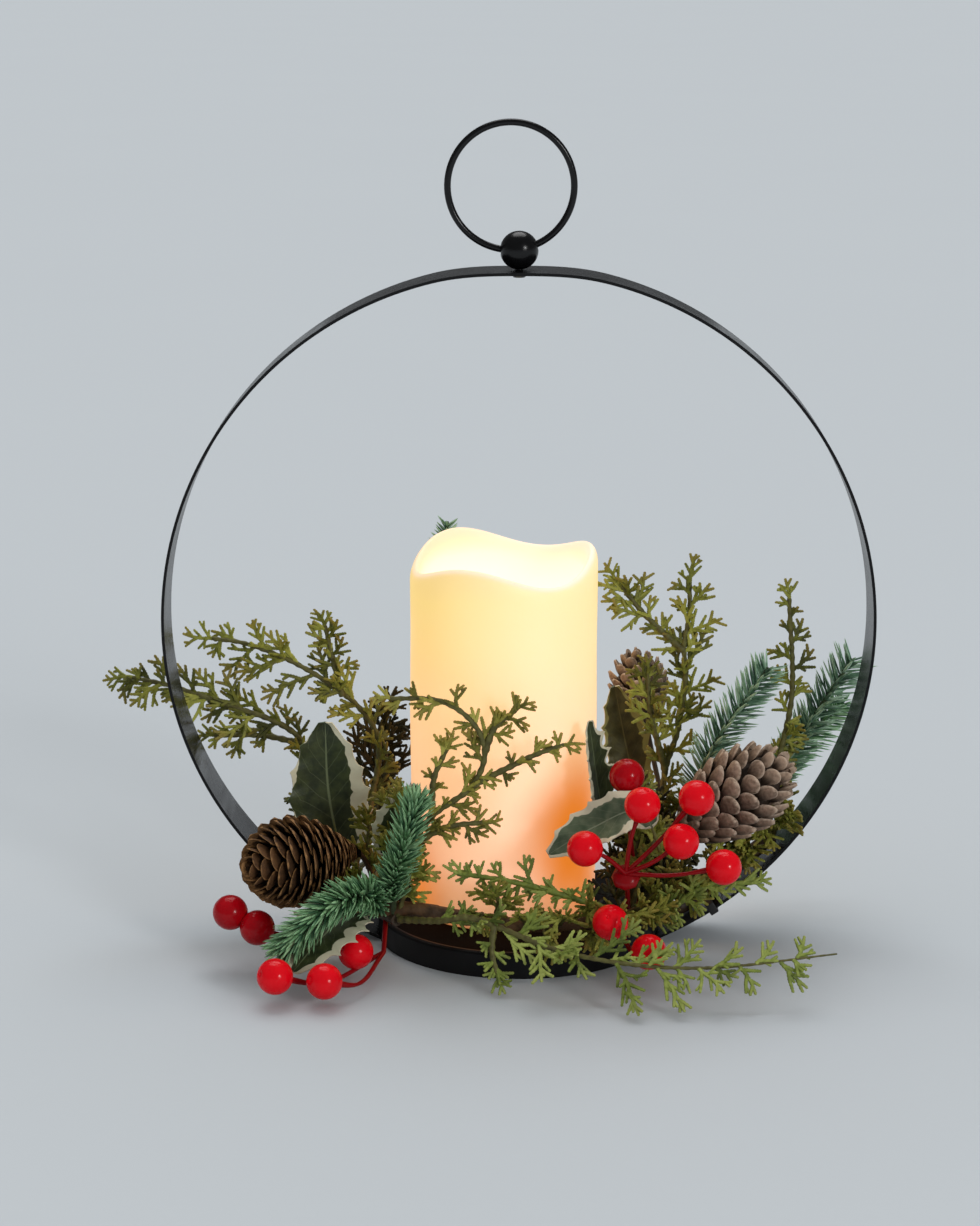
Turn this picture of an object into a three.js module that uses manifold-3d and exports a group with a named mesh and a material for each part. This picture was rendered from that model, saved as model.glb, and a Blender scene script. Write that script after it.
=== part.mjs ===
// Hoop lantern: a flat-strip hoop on a low round base, a hanging ring, an LED pillar candle
// and winter greenery tied to both sides of the hoop. Millimetres, +Z up.
// The origin is on the ground under the middle of the base. The front faces -Y.

import * as THREE from 'three';
import { mergeVertices } from 'three/addons/utils/BufferGeometryUtils.js';
import loadManifold from 'manifold-3d';

const wasm = await loadManifold();
wasm.setup();

// Driving dimensions

const GAP = 0.3;

const HOOP = { radius: 142, width: 25.4, thickness: 1.2, centreZ: 131.6, topFlat: 1.2, arcSteps: 16 };
const HOOP_TOP = HOOP.centreZ + HOOP.radius - HOOP.topFlat + HOOP.thickness / 2;

const BASE = { radius: 57.4, height: 10.5, wall: 1.0, plateTop: 9.7, lipWidth: 2.2, corner: 1.2 };
const NOTCH = { width: HOOP.width + 0.9, height: 2.9 };
const RIVET = { x: 22, shank: 1.6, head: 3.1, dimpleTop: 9.4, dimpleBottom: 5.2 };

const BALL = { radius: 7.6, centreZ: HOOP_TOP + GAP + 7.2, boreRadius: 2.3, boreLift: 1.0 };
const SCREW = { shank: 1.5, head: 3.0, headHeight: 1.6, tipZ: HOOP_TOP + 4.4 };
const RING = { radius: 24.7, wire: 1.35, lean: THREE.MathUtils.degToRad(7.6), toBall: 25.1 };

const CANDLE = { x: -6, y: 8, radius: 38.1, bore: 31.5, bottom: BASE.plateTop + GAP, rim: 156 };
const RIM_WAVE = { lobes: 3, height: 4.0, phase: THREE.MathUtils.degToRad(8), backLift: 2.6, depth: 34 };
const INSERT = { radius: CANDLE.bore - GAP, bottom: CANDLE.bottom + 0.6, flange: 5, tubeTop: 64 };
const BATTERY = { radius: 5.25, length: 44.5, pitch: 6.9, bore: 13.4, count: 3 };
const COVER = { radius: 19.0, thickness: 2.2, seatDepth: 3.0 };
const SWITCH = { x: 25, width: 4.4, length: 6, travel: 4, slotLength: 11 };
const LAMP = { plateZ: 112.3, plateThickness: 2, stemRadius: 4, bulbRadius: 2.5, bulbHeight: 12 };

// Facets round a turned piece
const ROUND = { base: 40, candle: 40, ring: 40, insert: 32, dimple: 16, fastener: 12, wire: 7 };

const BUNDLE_RADIUS = 3.2;
const BUNDLE_END_RADIUS = 2.6;
const BERRY_RADIUS = 7;
const TWIG = { thick: 1.0, thin: 0.7 };
const TIE = { width: 3.5, band: 1.0 };

// Finishes

const finish = (color, roughness, metalness) => ({ color, roughness, metalness });
const BLACK_METAL = finish(0x17181a, 0.42, 0.6);
const STEEL = finish(0xb9bcc0, 0.3, 0.9);
const WAX = finish(0xf6e3bd, 0.55, 0);
const WHITE_PLASTIC = finish(0xe9e6dd, 0.5, 0);
const WARM_LAMP = finish(0xffe2a0, 0.2, 0);
const BOARD_GREEN = finish(0x1f5c36, 0.5, 0);
const BATTERY_SLEEVE = finish(0x3d434b, 0.4, 0.2);
const CEDAR_GREEN = finish(0x6d7a33, 0.6, 0);
const FIR_GREEN = finish(0x2f6a4c, 0.6, 0);
const HOLLY_GREEN = finish(0x2c4230, 0.45, 0);
const CONE_BROWN = finish(0x6b4c33, 0.75, 0);
const BERRY_RED = finish(0xb80d1c, 0.15, 0);
const TAPE_BROWN = finish(0x6a4a28, 0.8, 0);
const TIE_BLACK = finish(0x141414, 0.5, 0);

// Solid helpers

const vec = ([x, y, z]) => new THREE.Vector3(x, y, z);

/** Merge shared corners, drop flat triangles and turn the faces outwards. */
function closed(geometry) {
  const bare = new THREE.BufferGeometry();
  bare.setAttribute('position', geometry.getAttribute('position').clone());
  if (geometry.index) bare.setIndex(geometry.index.clone());
  const merged = mergeVertices(bare, 1e-4);
  const index = merged.index.array;
  const position = merged.getAttribute('position');
  const corners = [new THREE.Vector3(), new THREE.Vector3(), new THREE.Vector3()];
  const kept = [];
  let volume = 0;
  for (let i = 0; i < index.length; i += 3) {
    const [a, b, c] = index.slice(i, i + 3);
    if (a === b || b === c || c === a) continue;
    kept.push([a, b, c]);
    corners.forEach((corner, k) => corner.fromBufferAttribute(position, index[i + k]));
    volume += corners[0].dot(corners[1].cross(corners[2]));
  }
  const turned = volume < 0 ? kept.map(([a, b, c]) => [a, c, b]) : kept;
  merged.setIndex(turned.flat());
  return merged;
}

/** A solid that can be joined and cut. */
function solid(geometry) {
  const shell = closed(geometry);
  const vertProperties = Float32Array.from(shell.getAttribute('position').array);
  const triVerts = Uint32Array.from(shell.index.array);
  return new wasm.Manifold(new wasm.Mesh({ numProp: 3, vertProperties, triVerts }));
}

/** The geometry of a joined or cut solid. */
function geometryOf(body) {
  const mesh = body.getMesh();
  const geometry = new THREE.BufferGeometry();
  geometry.setAttribute('position', new THREE.BufferAttribute(Float32Array.from(mesh.vertProperties), 3));
  geometry.setIndex(new THREE.BufferAttribute(Uint32Array.from(mesh.triVerts), 1));
  return geometry;
}

const joined = (bodies) => bodies.reduce((whole, body) => whole.add(body));

/** A named piece of the lantern. */
function piece(name, geometry, look) {
  const shell = closed(geometry);
  shell.computeVertexNormals();
  const mesh = new THREE.Mesh(shell, new THREE.MeshStandardMaterial(look));
  mesh.name = name;
  return mesh;
}

/** Revolve [radius, height] points about +Z. */
function revolve(profile, segments) {
  const points = profile.map(([r, z]) => new THREE.Vector2(r, z));
  return new THREE.LatheGeometry(points, segments).rotateX(Math.PI / 2);
}

/** A post along +Z, or a cone where the two radii differ. */
function post(bottomRadius, topRadius, bottom, top, segments) {
  const geometry = new THREE.CylinderGeometry(topRadius, bottomRadius, top - bottom, segments);
  return geometry.rotateX(Math.PI / 2).translate(0, 0, (bottom + top) / 2);
}

function block(width, depth, height, x, y, bottom) {
  return new THREE.BoxGeometry(width, depth, height).translate(x, y, bottom + height / 2);
}

/** Extrude a shape drawn in X and Z, evenly to both sides of Y = 0. */
function extrudeAcross(shape, depth, curveSegments) {
  const geometry = new THREE.ExtrudeGeometry(shape, { depth, bevelEnabled: false, curveSegments });
  return geometry.rotateX(Math.PI / 2).translate(0, depth / 2, 0);
}

/** Close a run of rings, each with the same number of corners, into one body. */
function loft(rings) {
  const sides = rings[0].length;
  const positions = rings.flat().flatMap((p) => [p.x, p.y, p.z]);
  const index = [];
  for (let i = 0; i + 1 < rings.length; i += 1) {
    for (let k = 0; k < sides; k += 1) {
      const a = i * sides + k;
      const b = i * sides + ((k + 1) % sides);
      index.push(a, b, a + sides, b, b + sides, a + sides);
    }
  }
  const last = (rings.length - 1) * sides;
  for (let k = 1; k + 1 < sides; k += 1) {
    index.push(0, k + 1, k, last, last + k, last + k + 1);
  }
  const geometry = new THREE.BufferGeometry();
  geometry.setAttribute('position', new THREE.Float32BufferAttribute(positions, 3));
  geometry.setIndex(index);
  return geometry;
}

/** A round stem that tapers along a smooth curve through the points. */
function stalk(points, startRadius, endRadius, sides, steps) {
  const curve = new THREE.CatmullRomCurve3(points.map(vec));
  const { normals, binormals } = curve.computeFrenetFrames(steps);
  const rings = [];
  for (let i = 0; i <= steps; i += 1) {
    const centre = curve.getPointAt(i / steps);
    const radius = THREE.MathUtils.lerp(startRadius, endRadius, i / steps);
    const ring = [];
    for (let k = 0; k < sides; k += 1) {
      const angle = (2 * Math.PI * k) / sides;
      const corner = centre.clone().addScaledVector(normals[i], radius * Math.cos(angle));
      ring.push(corner.addScaledVector(binormals[i], radius * Math.sin(angle)));
    }
    rings.push(ring);
  }
  return loft(rings);
}

/**
 * A frame that runs along a spine: at(s, q, h) is s along it, q to the side and h towards the face.
 * The face is the direction that the flat side of a leaf or spray looks.
 */
function spineFrame(points, face) {
  const curve = new THREE.CatmullRomCurve3(points.map(vec));
  const length = curve.getLength();
  const front = vec(face).normalize();
  const at = (s, q, h) => {
    const u = THREE.MathUtils.clamp(s / length, 0, 1);
    const tangent = curve.getTangentAt(u);
    const side = new THREE.Vector3().crossVectors(tangent, front).normalize();
    const normal = new THREE.Vector3().crossVectors(side, tangent);
    const point = curve.getPointAt(u).addScaledVector(tangent, s - u * length);
    return point.addScaledVector(side, q).addScaledVector(normal, h);
  };
  return { length, at };
}

// Frame: hoop, base, rivets, ball, screw and ring

function hoopOutline(OutlineClass, radius, bottom, top) {
  const low = Math.asin(bottom / radius);
  const high = Math.asin(top / radius);
  const outline = new OutlineClass();
  outline.absarc(0, HOOP.centreZ, radius, low, high, false);
  outline.absarc(0, HOOP.centreZ, radius, Math.PI - high, Math.PI - low, false);
  outline.closePath();
  return outline;
}

/** The strip is a circle with a long flat on the ground and a short one under the ball. */
function hoopStrip() {
  const half = HOOP.thickness / 2;
  const top = HOOP.radius - HOOP.topFlat;
  const shape = hoopOutline(THREE.Shape, HOOP.radius + half, -HOOP.centreZ, top + half);
  const inside = hoopOutline(THREE.Path, HOOP.radius - half, -HOOP.centreZ + HOOP.thickness, top - half);
  shape.holes.push(inside);
  let strip = solid(extrudeAcross(shape, HOOP.width, HOOP.arcSteps));
  for (const x of [-RIVET.x, RIVET.x]) {
    const sink = post(RIVET.head + GAP, RIVET.shank + GAP, -0.01, HOOP.thickness + 0.01, ROUND.fastener);
    strip = strip.subtract(solid(sink.translate(x, 0, 0)));
  }
  const screwHole = post(SCREW.shank + GAP, SCREW.shank + GAP, HOOP_TOP - 4, HOOP_TOP + 4, ROUND.fastener);
  return geometryOf(strip.subtract(solid(screwHole)));
}

/** An upside-down pressed pan with a low lip, notched for the strip and dimpled down to its rivets. */
function basePan() {
  const { radius, height, wall, plateTop, lipWidth, corner } = BASE;
  const under = plateTop - wall;
  const body = revolve([
    [0, under],
    [radius - lipWidth - wall, under],
    [radius - wall, under - 0.3],
    [radius - wall, 0],
    [radius, 0],
    [radius, height - corner],
    [radius - 0.35 * corner, height - 0.35 * corner],
    [radius - corner, height],
    [radius - lipWidth, height],
    [radius - lipWidth - wall, plateTop],
    [0, plateTop],
  ], ROUND.base);
  let pan = solid(body);
  const floor = HOOP.thickness + GAP;
  for (const x of [-RIVET.x, RIVET.x]) {
    const { dimpleBottom, dimpleTop, shank } = RIVET;
    const outside = post(dimpleBottom, dimpleTop, floor, plateTop - 0.1, ROUND.dimple);
    const inside = post(dimpleBottom - wall, dimpleTop, floor + wall, plateTop + 0.1, ROUND.dimple);
    const hole = post(shank + GAP, shank + GAP, 0, plateTop, ROUND.fastener);
    pan = pan.add(solid(outside.translate(x, 0, 0)));
    pan = pan.subtract(solid(inside.translate(x, 0, 0))).subtract(solid(hole.translate(x, 0, 0)));
  }
  for (const side of [-1, 1]) {
    const notch = block(20, NOTCH.width, NOTCH.height + 1, side * radius, 0, -1);
    pan = pan.subtract(solid(notch));
  }
  return geometryOf(pan);
}

/** A countersunk rivet that clamps a dimple of the pan to the strip. */
function baseRivet(x) {
  const seat = HOOP.thickness + GAP + BASE.wall + GAP;
  const { shank, head } = RIVET;
  const profile = [
    [0, 0.05],
    [head, 0.05],
    [shank, HOOP.thickness],
    [shank, seat],
    [head, seat],
    [head - 0.4, seat + 0.9],
    [head - 1.6, seat + 1.6],
    [0, seat + 1.8],
  ];
  return revolve(profile, ROUND.fastener).translate(x, 0, 0);
}

/** The ball has a small seat on the strip, a tapped hole below and a tilted bore for the ring. */
function hangerBall() {
  const { radius, centreZ, boreRadius, boreLift } = BALL;
  const ball = solid(new THREE.SphereGeometry(radius, 18, 9).rotateX(Math.PI / 2).translate(0, 0, centreZ));
  const belowSeat = solid(block(20, 20, 10, 0, 0, HOOP_TOP + GAP - 10));
  const hole = SCREW.shank + GAP;
  const tapped = solid(post(hole, hole, HOOP_TOP - 1, SCREW.tipZ + GAP, ROUND.fastener));
  const bore = post(boreRadius, boreRadius, -2 * radius, 2 * radius, ROUND.dimple);
  bore.rotateY(Math.PI / 2 - RING.lean).translate(...ringPoint(boreLift).toArray());
  return geometryOf(ball.subtract(belowSeat).subtract(tapped).subtract(solid(bore)));
}

/** A point up the ring's leaning centre line, measured from the ball's centre. */
function ringPoint(distance) {
  const x = -distance * Math.sin(RING.lean);
  return new THREE.Vector3(x, 0, BALL.centreZ + distance * Math.cos(RING.lean));
}

function hangerRing() {
  const ring = new THREE.TorusGeometry(RING.radius, RING.wire, ROUND.wire, ROUND.ring).rotateX(Math.PI / 2);
  return ring.translate(...ringPoint(RING.toBall).toArray());
}

function hangerScrew() {
  const headTop = HOOP_TOP - HOOP.thickness - GAP;
  const { shank, head, headHeight, tipZ } = SCREW;
  return revolve([
    [0, headTop - headHeight],
    [head - 0.8, headTop - headHeight],
    [head, headTop - headHeight / 2],
    [head, headTop],
    [shank, headTop],
    [shank, tipZ - 0.5],
    [shank - 0.5, tipZ],
    [0, tipZ],
  ], ROUND.fastener);
}

// Candle: wax shell, lamp and battery insert

/** Height that the melted rim adds at an angle round the candle. */
function rimWave(angle) {
  const lobes = RIM_WAVE.height * Math.cos(RIM_WAVE.lobes * (angle - RIM_WAVE.phase));
  return lobes + RIM_WAVE.backLift * Math.sin(angle);
}

/** A wax tube with a soft wavy rim. The wave dies away down the wall. */
function candleShell() {
  const { radius, bore, bottom, rim } = CANDLE;
  const tube = revolve([
    [bore, bottom],
    [radius - 1, bottom],
    [radius, bottom + 1],
    [radius, rim - RIM_WAVE.depth],
    [radius, rim - 4],
    [radius - 0.8, rim - 1.2],
    [radius - 2.6, rim],
    [radius - 4.2, rim - 1.4],
    [bore + 1, rim - 8],
    [bore, rim - RIM_WAVE.depth],
    [bore, bottom],
  ], ROUND.candle);
  const position = tube.getAttribute('position');
  for (let i = 0; i < position.count; i += 1) {
    const share = THREE.MathUtils.smoothstep(position.getZ(i), rim - RIM_WAVE.depth, rim - 1);
    const angle = Math.atan2(position.getY(i), position.getX(i));
    position.setZ(i, position.getZ(i) + share * rimWave(angle));
  }
  return tube;
}

/** A flange that closes the candle's foot, with a battery well above it and a slot for the switch. */
function batteryHolder() {
  const { radius, bottom, flange, tubeTop } = INSERT;
  const seat = bottom + COVER.seatDepth;
  const tube = BATTERY.bore + 2;
  const body = revolve([
    [0, tubeTop - 2],
    [BATTERY.bore, tubeTop - 2],
    [BATTERY.bore, seat],
    [COVER.radius + GAP, seat],
    [COVER.radius + GAP, bottom],
    [radius, bottom],
    [radius, bottom + flange],
    [tube, bottom + flange],
    [tube, tubeTop],
    [0, tubeTop],
  ], ROUND.insert);
  const slot = block(SWITCH.width + 2 * GAP, SWITCH.slotLength, flange + 2, SWITCH.x, 0, bottom - 1);
  return geometryOf(solid(body).subtract(solid(slot)));
}

/** A twist-off lid with a coin slot. */
function batteryCover() {
  const bottom = INSERT.bottom + GAP;
  const { radius, thickness } = COVER;
  const lid = revolve([
    [0, bottom],
    [radius - 0.6, bottom],
    [radius, bottom + 0.6],
    [radius, bottom + thickness],
    [0, bottom + thickness],
  ], ROUND.insert);
  const coinSlot = block(16, 2.2, 1.4, 0, 0, bottom - 0.4);
  return geometryOf(solid(lid).subtract(solid(coinSlot)));
}

/** An upright dry cell with its raised pole at the top. */
function battery(index) {
  const angle = (2 * Math.PI * index) / BATTERY.count;
  const { radius, length, pitch } = BATTERY;
  const bottom = INSERT.bottom + COVER.seatDepth + 0.7;
  const cell = revolve([
    [0, bottom],
    [radius, bottom],
    [radius, bottom + length - 1],
    [1.9, bottom + length - 1],
    [1.9, bottom + length],
    [0, bottom + length],
  ], ROUND.fastener);
  return cell.translate(pitch * Math.cos(angle), pitch * Math.sin(angle), 0);
}

function contactPlate(bottom, radius, thickness) {
  const top = bottom + thickness;
  return revolve([[0, bottom], [radius, bottom], [radius, top], [0, top]], ROUND.dimple);
}

/** The board lies on the battery well and carries a timer chip and a resistor. */
function circuitBoard() {
  const bottom = INSERT.tubeTop + GAP;
  const board = solid(block(24, 18, 1.4, 0, 0, bottom));
  const chip = solid(block(6, 5, 2, -7.5, 3, bottom + 1.2));
  const resistor = solid(block(5, 2, 1.8, -7.5, -5, bottom + 1.2));
  return geometryOf(board.add(chip).add(resistor));
}

function lampStem() {
  const bottom = INSERT.tubeTop + GAP + 1.4 + GAP;
  return post(LAMP.stemRadius, LAMP.stemRadius - 0.8, bottom, LAMP.plateZ - GAP, ROUND.fastener);
}

function lampPlate() {
  const { plateZ, plateThickness, bulbRadius } = LAMP;
  const hole = bulbRadius + 0.5;
  return revolve([
    [hole, plateZ],
    [INSERT.radius, plateZ],
    [INSERT.radius, plateZ + plateThickness],
    [hole, plateZ + plateThickness],
    [hole, plateZ],
  ], ROUND.insert);
}

/** A round-nosed LED in the middle of the plate. */
function ledLamp() {
  const { plateZ, bulbRadius, bulbHeight } = LAMP;
  const top = plateZ + bulbHeight;
  return revolve([
    [0, plateZ],
    [bulbRadius, plateZ],
    [bulbRadius, top - bulbRadius],
    [0.8 * bulbRadius, top - 0.4 * bulbRadius],
    [0.45 * bulbRadius, top - 0.1 * bulbRadius],
    [0, top],
  ], ROUND.fastener);
}

/** A ribbed thumb slide in the flange's slot, at the off end. */
function switchKnob() {
  const bottom = INSERT.bottom + GAP;
  const start = -SWITCH.travel / 2;
  let knob = solid(block(SWITCH.width, SWITCH.length, 4, SWITCH.x, start, bottom));
  for (const y of [-1.5, 0, 1.5]) {
    knob = knob.subtract(solid(block(SWITCH.width + 1, 0.6, 1, SWITCH.x, start + y, bottom - 0.4)));
  }
  return geometryOf(knob);
}

// Greenery

/** A cedar twig forks in two: its tips and the notch between them, as shares of its length. */
const CEDAR_FORK = [[0.9, -0.2], [0.5, 0.03], [1, 0.14]];
const CEDAR = {
  angle: THREE.MathUtils.degToRad(46),
  thickness: 1.1,
  stem: 1.1,
  tipStem: 0.6,
  root: 0.9,
  bareStep: 7,
  forkBare: 0.25,
};

/** Outline of one cedar twig, walking from its root nearest the base to its root nearest the tip. */
function cedarTwig(root, side, length, halfWidth) {
  const along = [Math.cos(CEDAR.angle), side * Math.sin(CEDAR.angle)];
  const across = [Math.sin(CEDAR.angle), -side * Math.cos(CEDAR.angle)];
  const place = (a, b) => new THREE.Vector2(
    root + length * (a * along[0] + b * across[0]),
    side * halfWidth + length * (a * along[1] + b * across[1]),
  );
  const first = new THREE.Vector2(root - CEDAR.root, side * halfWidth);
  const last = new THREE.Vector2(root + CEDAR.root, side * halfWidth);
  return [first, ...CEDAR_FORK.map(([a, b]) => place(a, b)), last];
}

/** Rail of a shoot's stem on one side, from one station to the next, with the twig that grows there. */
function cedarRail(side, from, to, half, twig) {
  const root = THREE.MathUtils.lerp(from, to, side > 0 ? 0.3 : 0.7);
  const growth = twig > 0 ? cedarTwig(root, side, twig, half(root)) : [];
  return [new THREE.Vector2(from, side * half(from)), ...growth, new THREE.Vector2(to, side * half(to))];
}

/** One flat shoot, bent along its spine: a bare stem, then pairs of twigs that shorten towards the tip. */
function cedarShoot({ spine, face, bare, reach, twigs }) {
  const { length, at } = spineFrame(spine, face);
  const start = bare * length;
  const bareCells = Math.ceil(start / CEDAR.bareStep);
  const cells = bareCells + twigs;
  const station = (k) => (k < bareCells
    ? (start * k) / bareCells
    : start + ((length - start) * (k - bareCells)) / twigs);
  const grown = (s) => THREE.MathUtils.clamp((s - start) / (length - start), 0, 1);
  const half = (s) => THREE.MathUtils.lerp(CEDAR.stem, CEDAR.tipStem, grown(s));
  const corners = [];
  const place = (points, heights) => corners.push(...points.map((p, k) => at(p.x, p.y, heights[k])));
  const top = CEDAR.thickness / 2;
  for (let cell = 0; cell < cells; cell += 1) {
    const from = station(cell);
    const to = station(cell + 1);
    const swell = 0.45 + 0.55 * Math.sin(Math.PI * (0.25 + 0.72 * grown(from)));
    const twig = cell < bareCells ? 0 : reach * swell;
    const right = cedarRail(1, from, to, half, twig);
    const left = cedarRail(-1, from, to, half, twig).reverse();
    const tip = cell === cells - 1 ? [new THREE.Vector2(length + 0.4 * reach, 0)] : [];
    const outline = [...right, ...tip, ...left];
    for (const [a, b, c] of THREE.ShapeUtils.triangulateShape(outline, [])) {
      place([outline[a], outline[b], outline[c]], [top, top, top]);
      place([outline[a], outline[c], outline[b]], [-top, -top, -top]);
    }
    const open = (i) => (cell > 0 && i === outline.length - 1) || (!tip.length && i === right.length - 1);
    outline.forEach((p, i) => {
      if (open(i)) return;
      const q = outline[(i + 1) % outline.length];
      const wall = THREE.ShapeUtils.isClockWise(outline) ? [p, q] : [q, p];
      place([wall[0], wall[1], wall[0]], [top, top, -top]);
      place([wall[1], wall[1], wall[0]], [top, -top, -top]);
    });
  }
  return new THREE.BufferGeometry().setFromPoints(corners);
}

/** A cedar spray: a main shoot and the side shoots that fork from it. */
function cedarSpray({ forks = [], ...main }) {
  const shoots = [main, ...forks.map((fork) => ({ face: main.face, bare: CEDAR.forkBare, ...fork }))];
  return geometryOf(joined(shoots.map((shoot) => solid(cedarShoot(shoot)))));
}

const GOLDEN_ANGLE = Math.PI * (3 - Math.sqrt(5));
const NEEDLE = { root: 0.55, lean: 0.85 };

/** A fir pick: a wire stem with needles that lean forward all round it, fused to the stem. */
function firPick({ spine, bare, needles, reach }) {
  const curve = new THREE.CatmullRomCurve3(spine.map(vec));
  const frames = curve.computeFrenetFrames(needles);
  const bodies = [solid(stalk(spine, 1.3, 0.9, 5, 7))];
  for (let k = 0; k < needles; k += 1) {
    const u = THREE.MathUtils.lerp(bare, 0.985, k / (needles - 1));
    const near = Math.round(u * needles);
    const angle = k * GOLDEN_ANGLE;
    const out = frames.normals[near].clone().multiplyScalar(Math.cos(angle));
    out.addScaledVector(frames.binormals[near], Math.sin(angle));
    const tangent = frames.tangents[near];
    const side = new THREE.Vector3().crossVectors(tangent, out);
    const root = curve.getPointAt(u);
    const length = reach * (u > 0.9 ? 0.85 : 1);
    const tip = root.clone().addScaledVector(out, length).addScaledVector(tangent, length * NEEDLE.lean);
    const foot = [0, 1, 2].map((i) => {
      const turn = (2 * Math.PI * i) / 3;
      const corner = root.clone().addScaledVector(side, NEEDLE.root * Math.cos(turn));
      return corner.addScaledVector(tangent, NEEDLE.root * Math.sin(turn));
    });
    bodies.push(solid(loft([foot, [tip, tip, tip]])));
  }
  return geometryOf(joined(bodies));
}

const HOLLY = { teeth: 5, valley: 0.7, fold: 0.22, edge: 0.5, rib: 1.0, stalk: 1.1 };

/** A spiny holly leaf on its stalk: folded along the rib, with alternate teeth and valleys. */
function hollyLeaf({ spine, face, width, bare }) {
  const { length, at } = spineFrame(spine, face);
  const start = bare * length;
  const ring = (s, half) => {
    const lift = HOLLY.fold * half;
    const edge = Math.min(HOLLY.edge, half / 2);
    return [
      at(s, -half, lift + edge / 2),
      at(s, 0, HOLLY.rib / 2),
      at(s, half, lift + edge / 2),
      at(s, half, lift - edge / 2),
      at(s, 0, -HOLLY.rib / 2),
      at(s, -half, lift - edge / 2),
    ];
  };
  const rings = [ring(0, HOLLY.stalk), ring(start / 2, HOLLY.stalk), ring(start, HOLLY.stalk)];
  const stations = 2 * HOLLY.teeth + 1;
  for (let k = 1; k <= stations; k += 1) {
    const share = k / (stations + 1);
    const blade = (width / 2) * Math.pow(Math.sin(Math.PI * Math.pow(share, 0.85)), 0.6);
    const half = k % 2 === 0 ? blade : blade * HOLLY.valley + 0.6;
    rings.push(ring(start + share * (length - start), half));
  }
  rings.push(ring(length, 0.35));
  return loft(rings);
}

const CONE = { core: 0.7, flare: 0.3, undercut: 0.4, wire: 1.1, foot: 0.03, blunt: 0.96 };
/** Lip of a cone scale, from one side to the other: [share of its width, share of its flare]. */
const CONE_SCALE = [[0, 0], [0.33, 0.95], [0.67, 0.95]];

/** How full a cone is along its axis: narrow at the foot, blunt at the tip. */
const coneSwell = (share) => Math.pow(Math.sin(Math.PI * Math.pow(share, 1.25)), 0.6);

/** A pine cone: tiers of scales, each turned half a scale on from the one below, and its wire stem. */
function pineCone({ foot, tip, radius, tiers, scales, stem }) {
  const axis = vec(tip).sub(vec(foot));
  const length = axis.length();
  const rise = (CONE.blunt - CONE.foot) / tiers;
  const rings = [];
  for (let tier = 0; tier < tiers; tier += 1) {
    const root = [];
    const lip = [];
    const share = CONE.foot + rise * tier;
    const core = CONE.core * radius * coneSwell(share);
    const swell = radius * coneSwell(Math.min(share + rise, CONE.blunt));
    for (let k = 0; k < scales; k += 1) {
      for (const [across, out] of CONE_SCALE) {
        const angle = (2 * Math.PI * (k + across + tier / 2)) / scales;
        const reach = swell * (CONE.core + CONE.flare * out);
        const height = length * (share + rise * (1 + CONE.undercut * out));
        root.push(new THREE.Vector3(core * Math.cos(angle), core * Math.sin(angle), length * share));
        lip.push(new THREE.Vector3(reach * Math.cos(angle), reach * Math.sin(angle), height));
      }
    }
    rings.push(root, lip);
  }
  const body = loft(rings);
  const turn = new THREE.Quaternion().setFromUnitVectors(new THREE.Vector3(0, 0, 1), axis.normalize());
  body.applyQuaternion(turn).translate(...foot);
  const sunk = vec(foot).addScaledVector(axis, 0.2 * length).toArray();
  const wire = stalk([...stem, foot, sunk], CONE.wire, CONE.wire, 5, 6);
  return geometryOf(solid(body).add(solid(wire)));
}

/** A berry pick: twigs that share a main stem, each ending in a berry. */
function berryPick({ stem, twigs }) {
  const fork = stem[stem.length - 1];
  const bodies = [solid(stalk(stem, TWIG.thick, TWIG.thick, 4, 4))];
  for (const twig of twigs) {
    const berry = twig[twig.length - 1];
    bodies.push(solid(stalk([fork, ...twig], TWIG.thick, TWIG.thin, 4, 3)));
    bodies.push(solid(new THREE.SphereGeometry(BERRY_RADIUS, 8, 6).translate(...berry)));
  }
  return geometryOf(joined(bodies));
}

/** A band round the strip and the stems that lie on it, at an angle round the hoop. */
function stripTie(angle) {
  const inner = { width: HOOP.width + 2 * GAP, height: HOOP.thickness + 2 * BUNDLE_RADIUS + 4 * GAP };
  const outline = (OutlineClass, grow) => {
    const shape = new OutlineClass();
    const x = inner.width / 2 + grow;
    const low = -HOOP.thickness / 2 - GAP - grow;
    const high = low + inner.height + 2 * grow;
    shape.moveTo(-x, low);
    shape.lineTo(x, low);
    shape.lineTo(x, low + HOOP.thickness + 2 + grow);
    shape.lineTo(BUNDLE_RADIUS + 2 + grow, high);
    shape.lineTo(-BUNDLE_RADIUS - 2 - grow, high);
    shape.lineTo(-x, low + HOOP.thickness + 2 + grow);
    shape.closePath();
    return shape;
  };
  const shape = outline(THREE.Shape, TIE.band);
  shape.holes.push(outline(THREE.Path, 0));
  const geometry = new THREE.ExtrudeGeometry(shape, { depth: TIE.width, bevelEnabled: false });
  geometry.translate(0, 0, -TIE.width / 2);
  const inward = new THREE.Vector3(-Math.cos(angle), 0, -Math.sin(angle));
  const across = new THREE.Vector3(0, 1, 0);
  const along = new THREE.Vector3().crossVectors(across, inward);
  geometry.applyMatrix4(new THREE.Matrix4().makeBasis(across, inward, along));
  return geometry.translate(HOOP.radius * Math.cos(angle), 0, HOOP.centreZ + HOOP.radius * Math.sin(angle));
}

/** A point on the stems' line along the strip, at an angle in degrees round the hoop. */
function onStrip(degrees, y) {
  const angle = THREE.MathUtils.degToRad(degrees);
  const radius = HOOP.radius - HOOP.thickness / 2 - GAP - BUNDLE_RADIUS - 0.2;
  return [radius * Math.cos(angle), y, HOOP.centreZ + radius * Math.sin(angle)];
}

const LEFT_TIE = THREE.MathUtils.degToRad(232);
const RIGHT_TIE = THREE.MathUtils.degToRad(-56);
const FRONT = [0, -1, 0.15];

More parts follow.
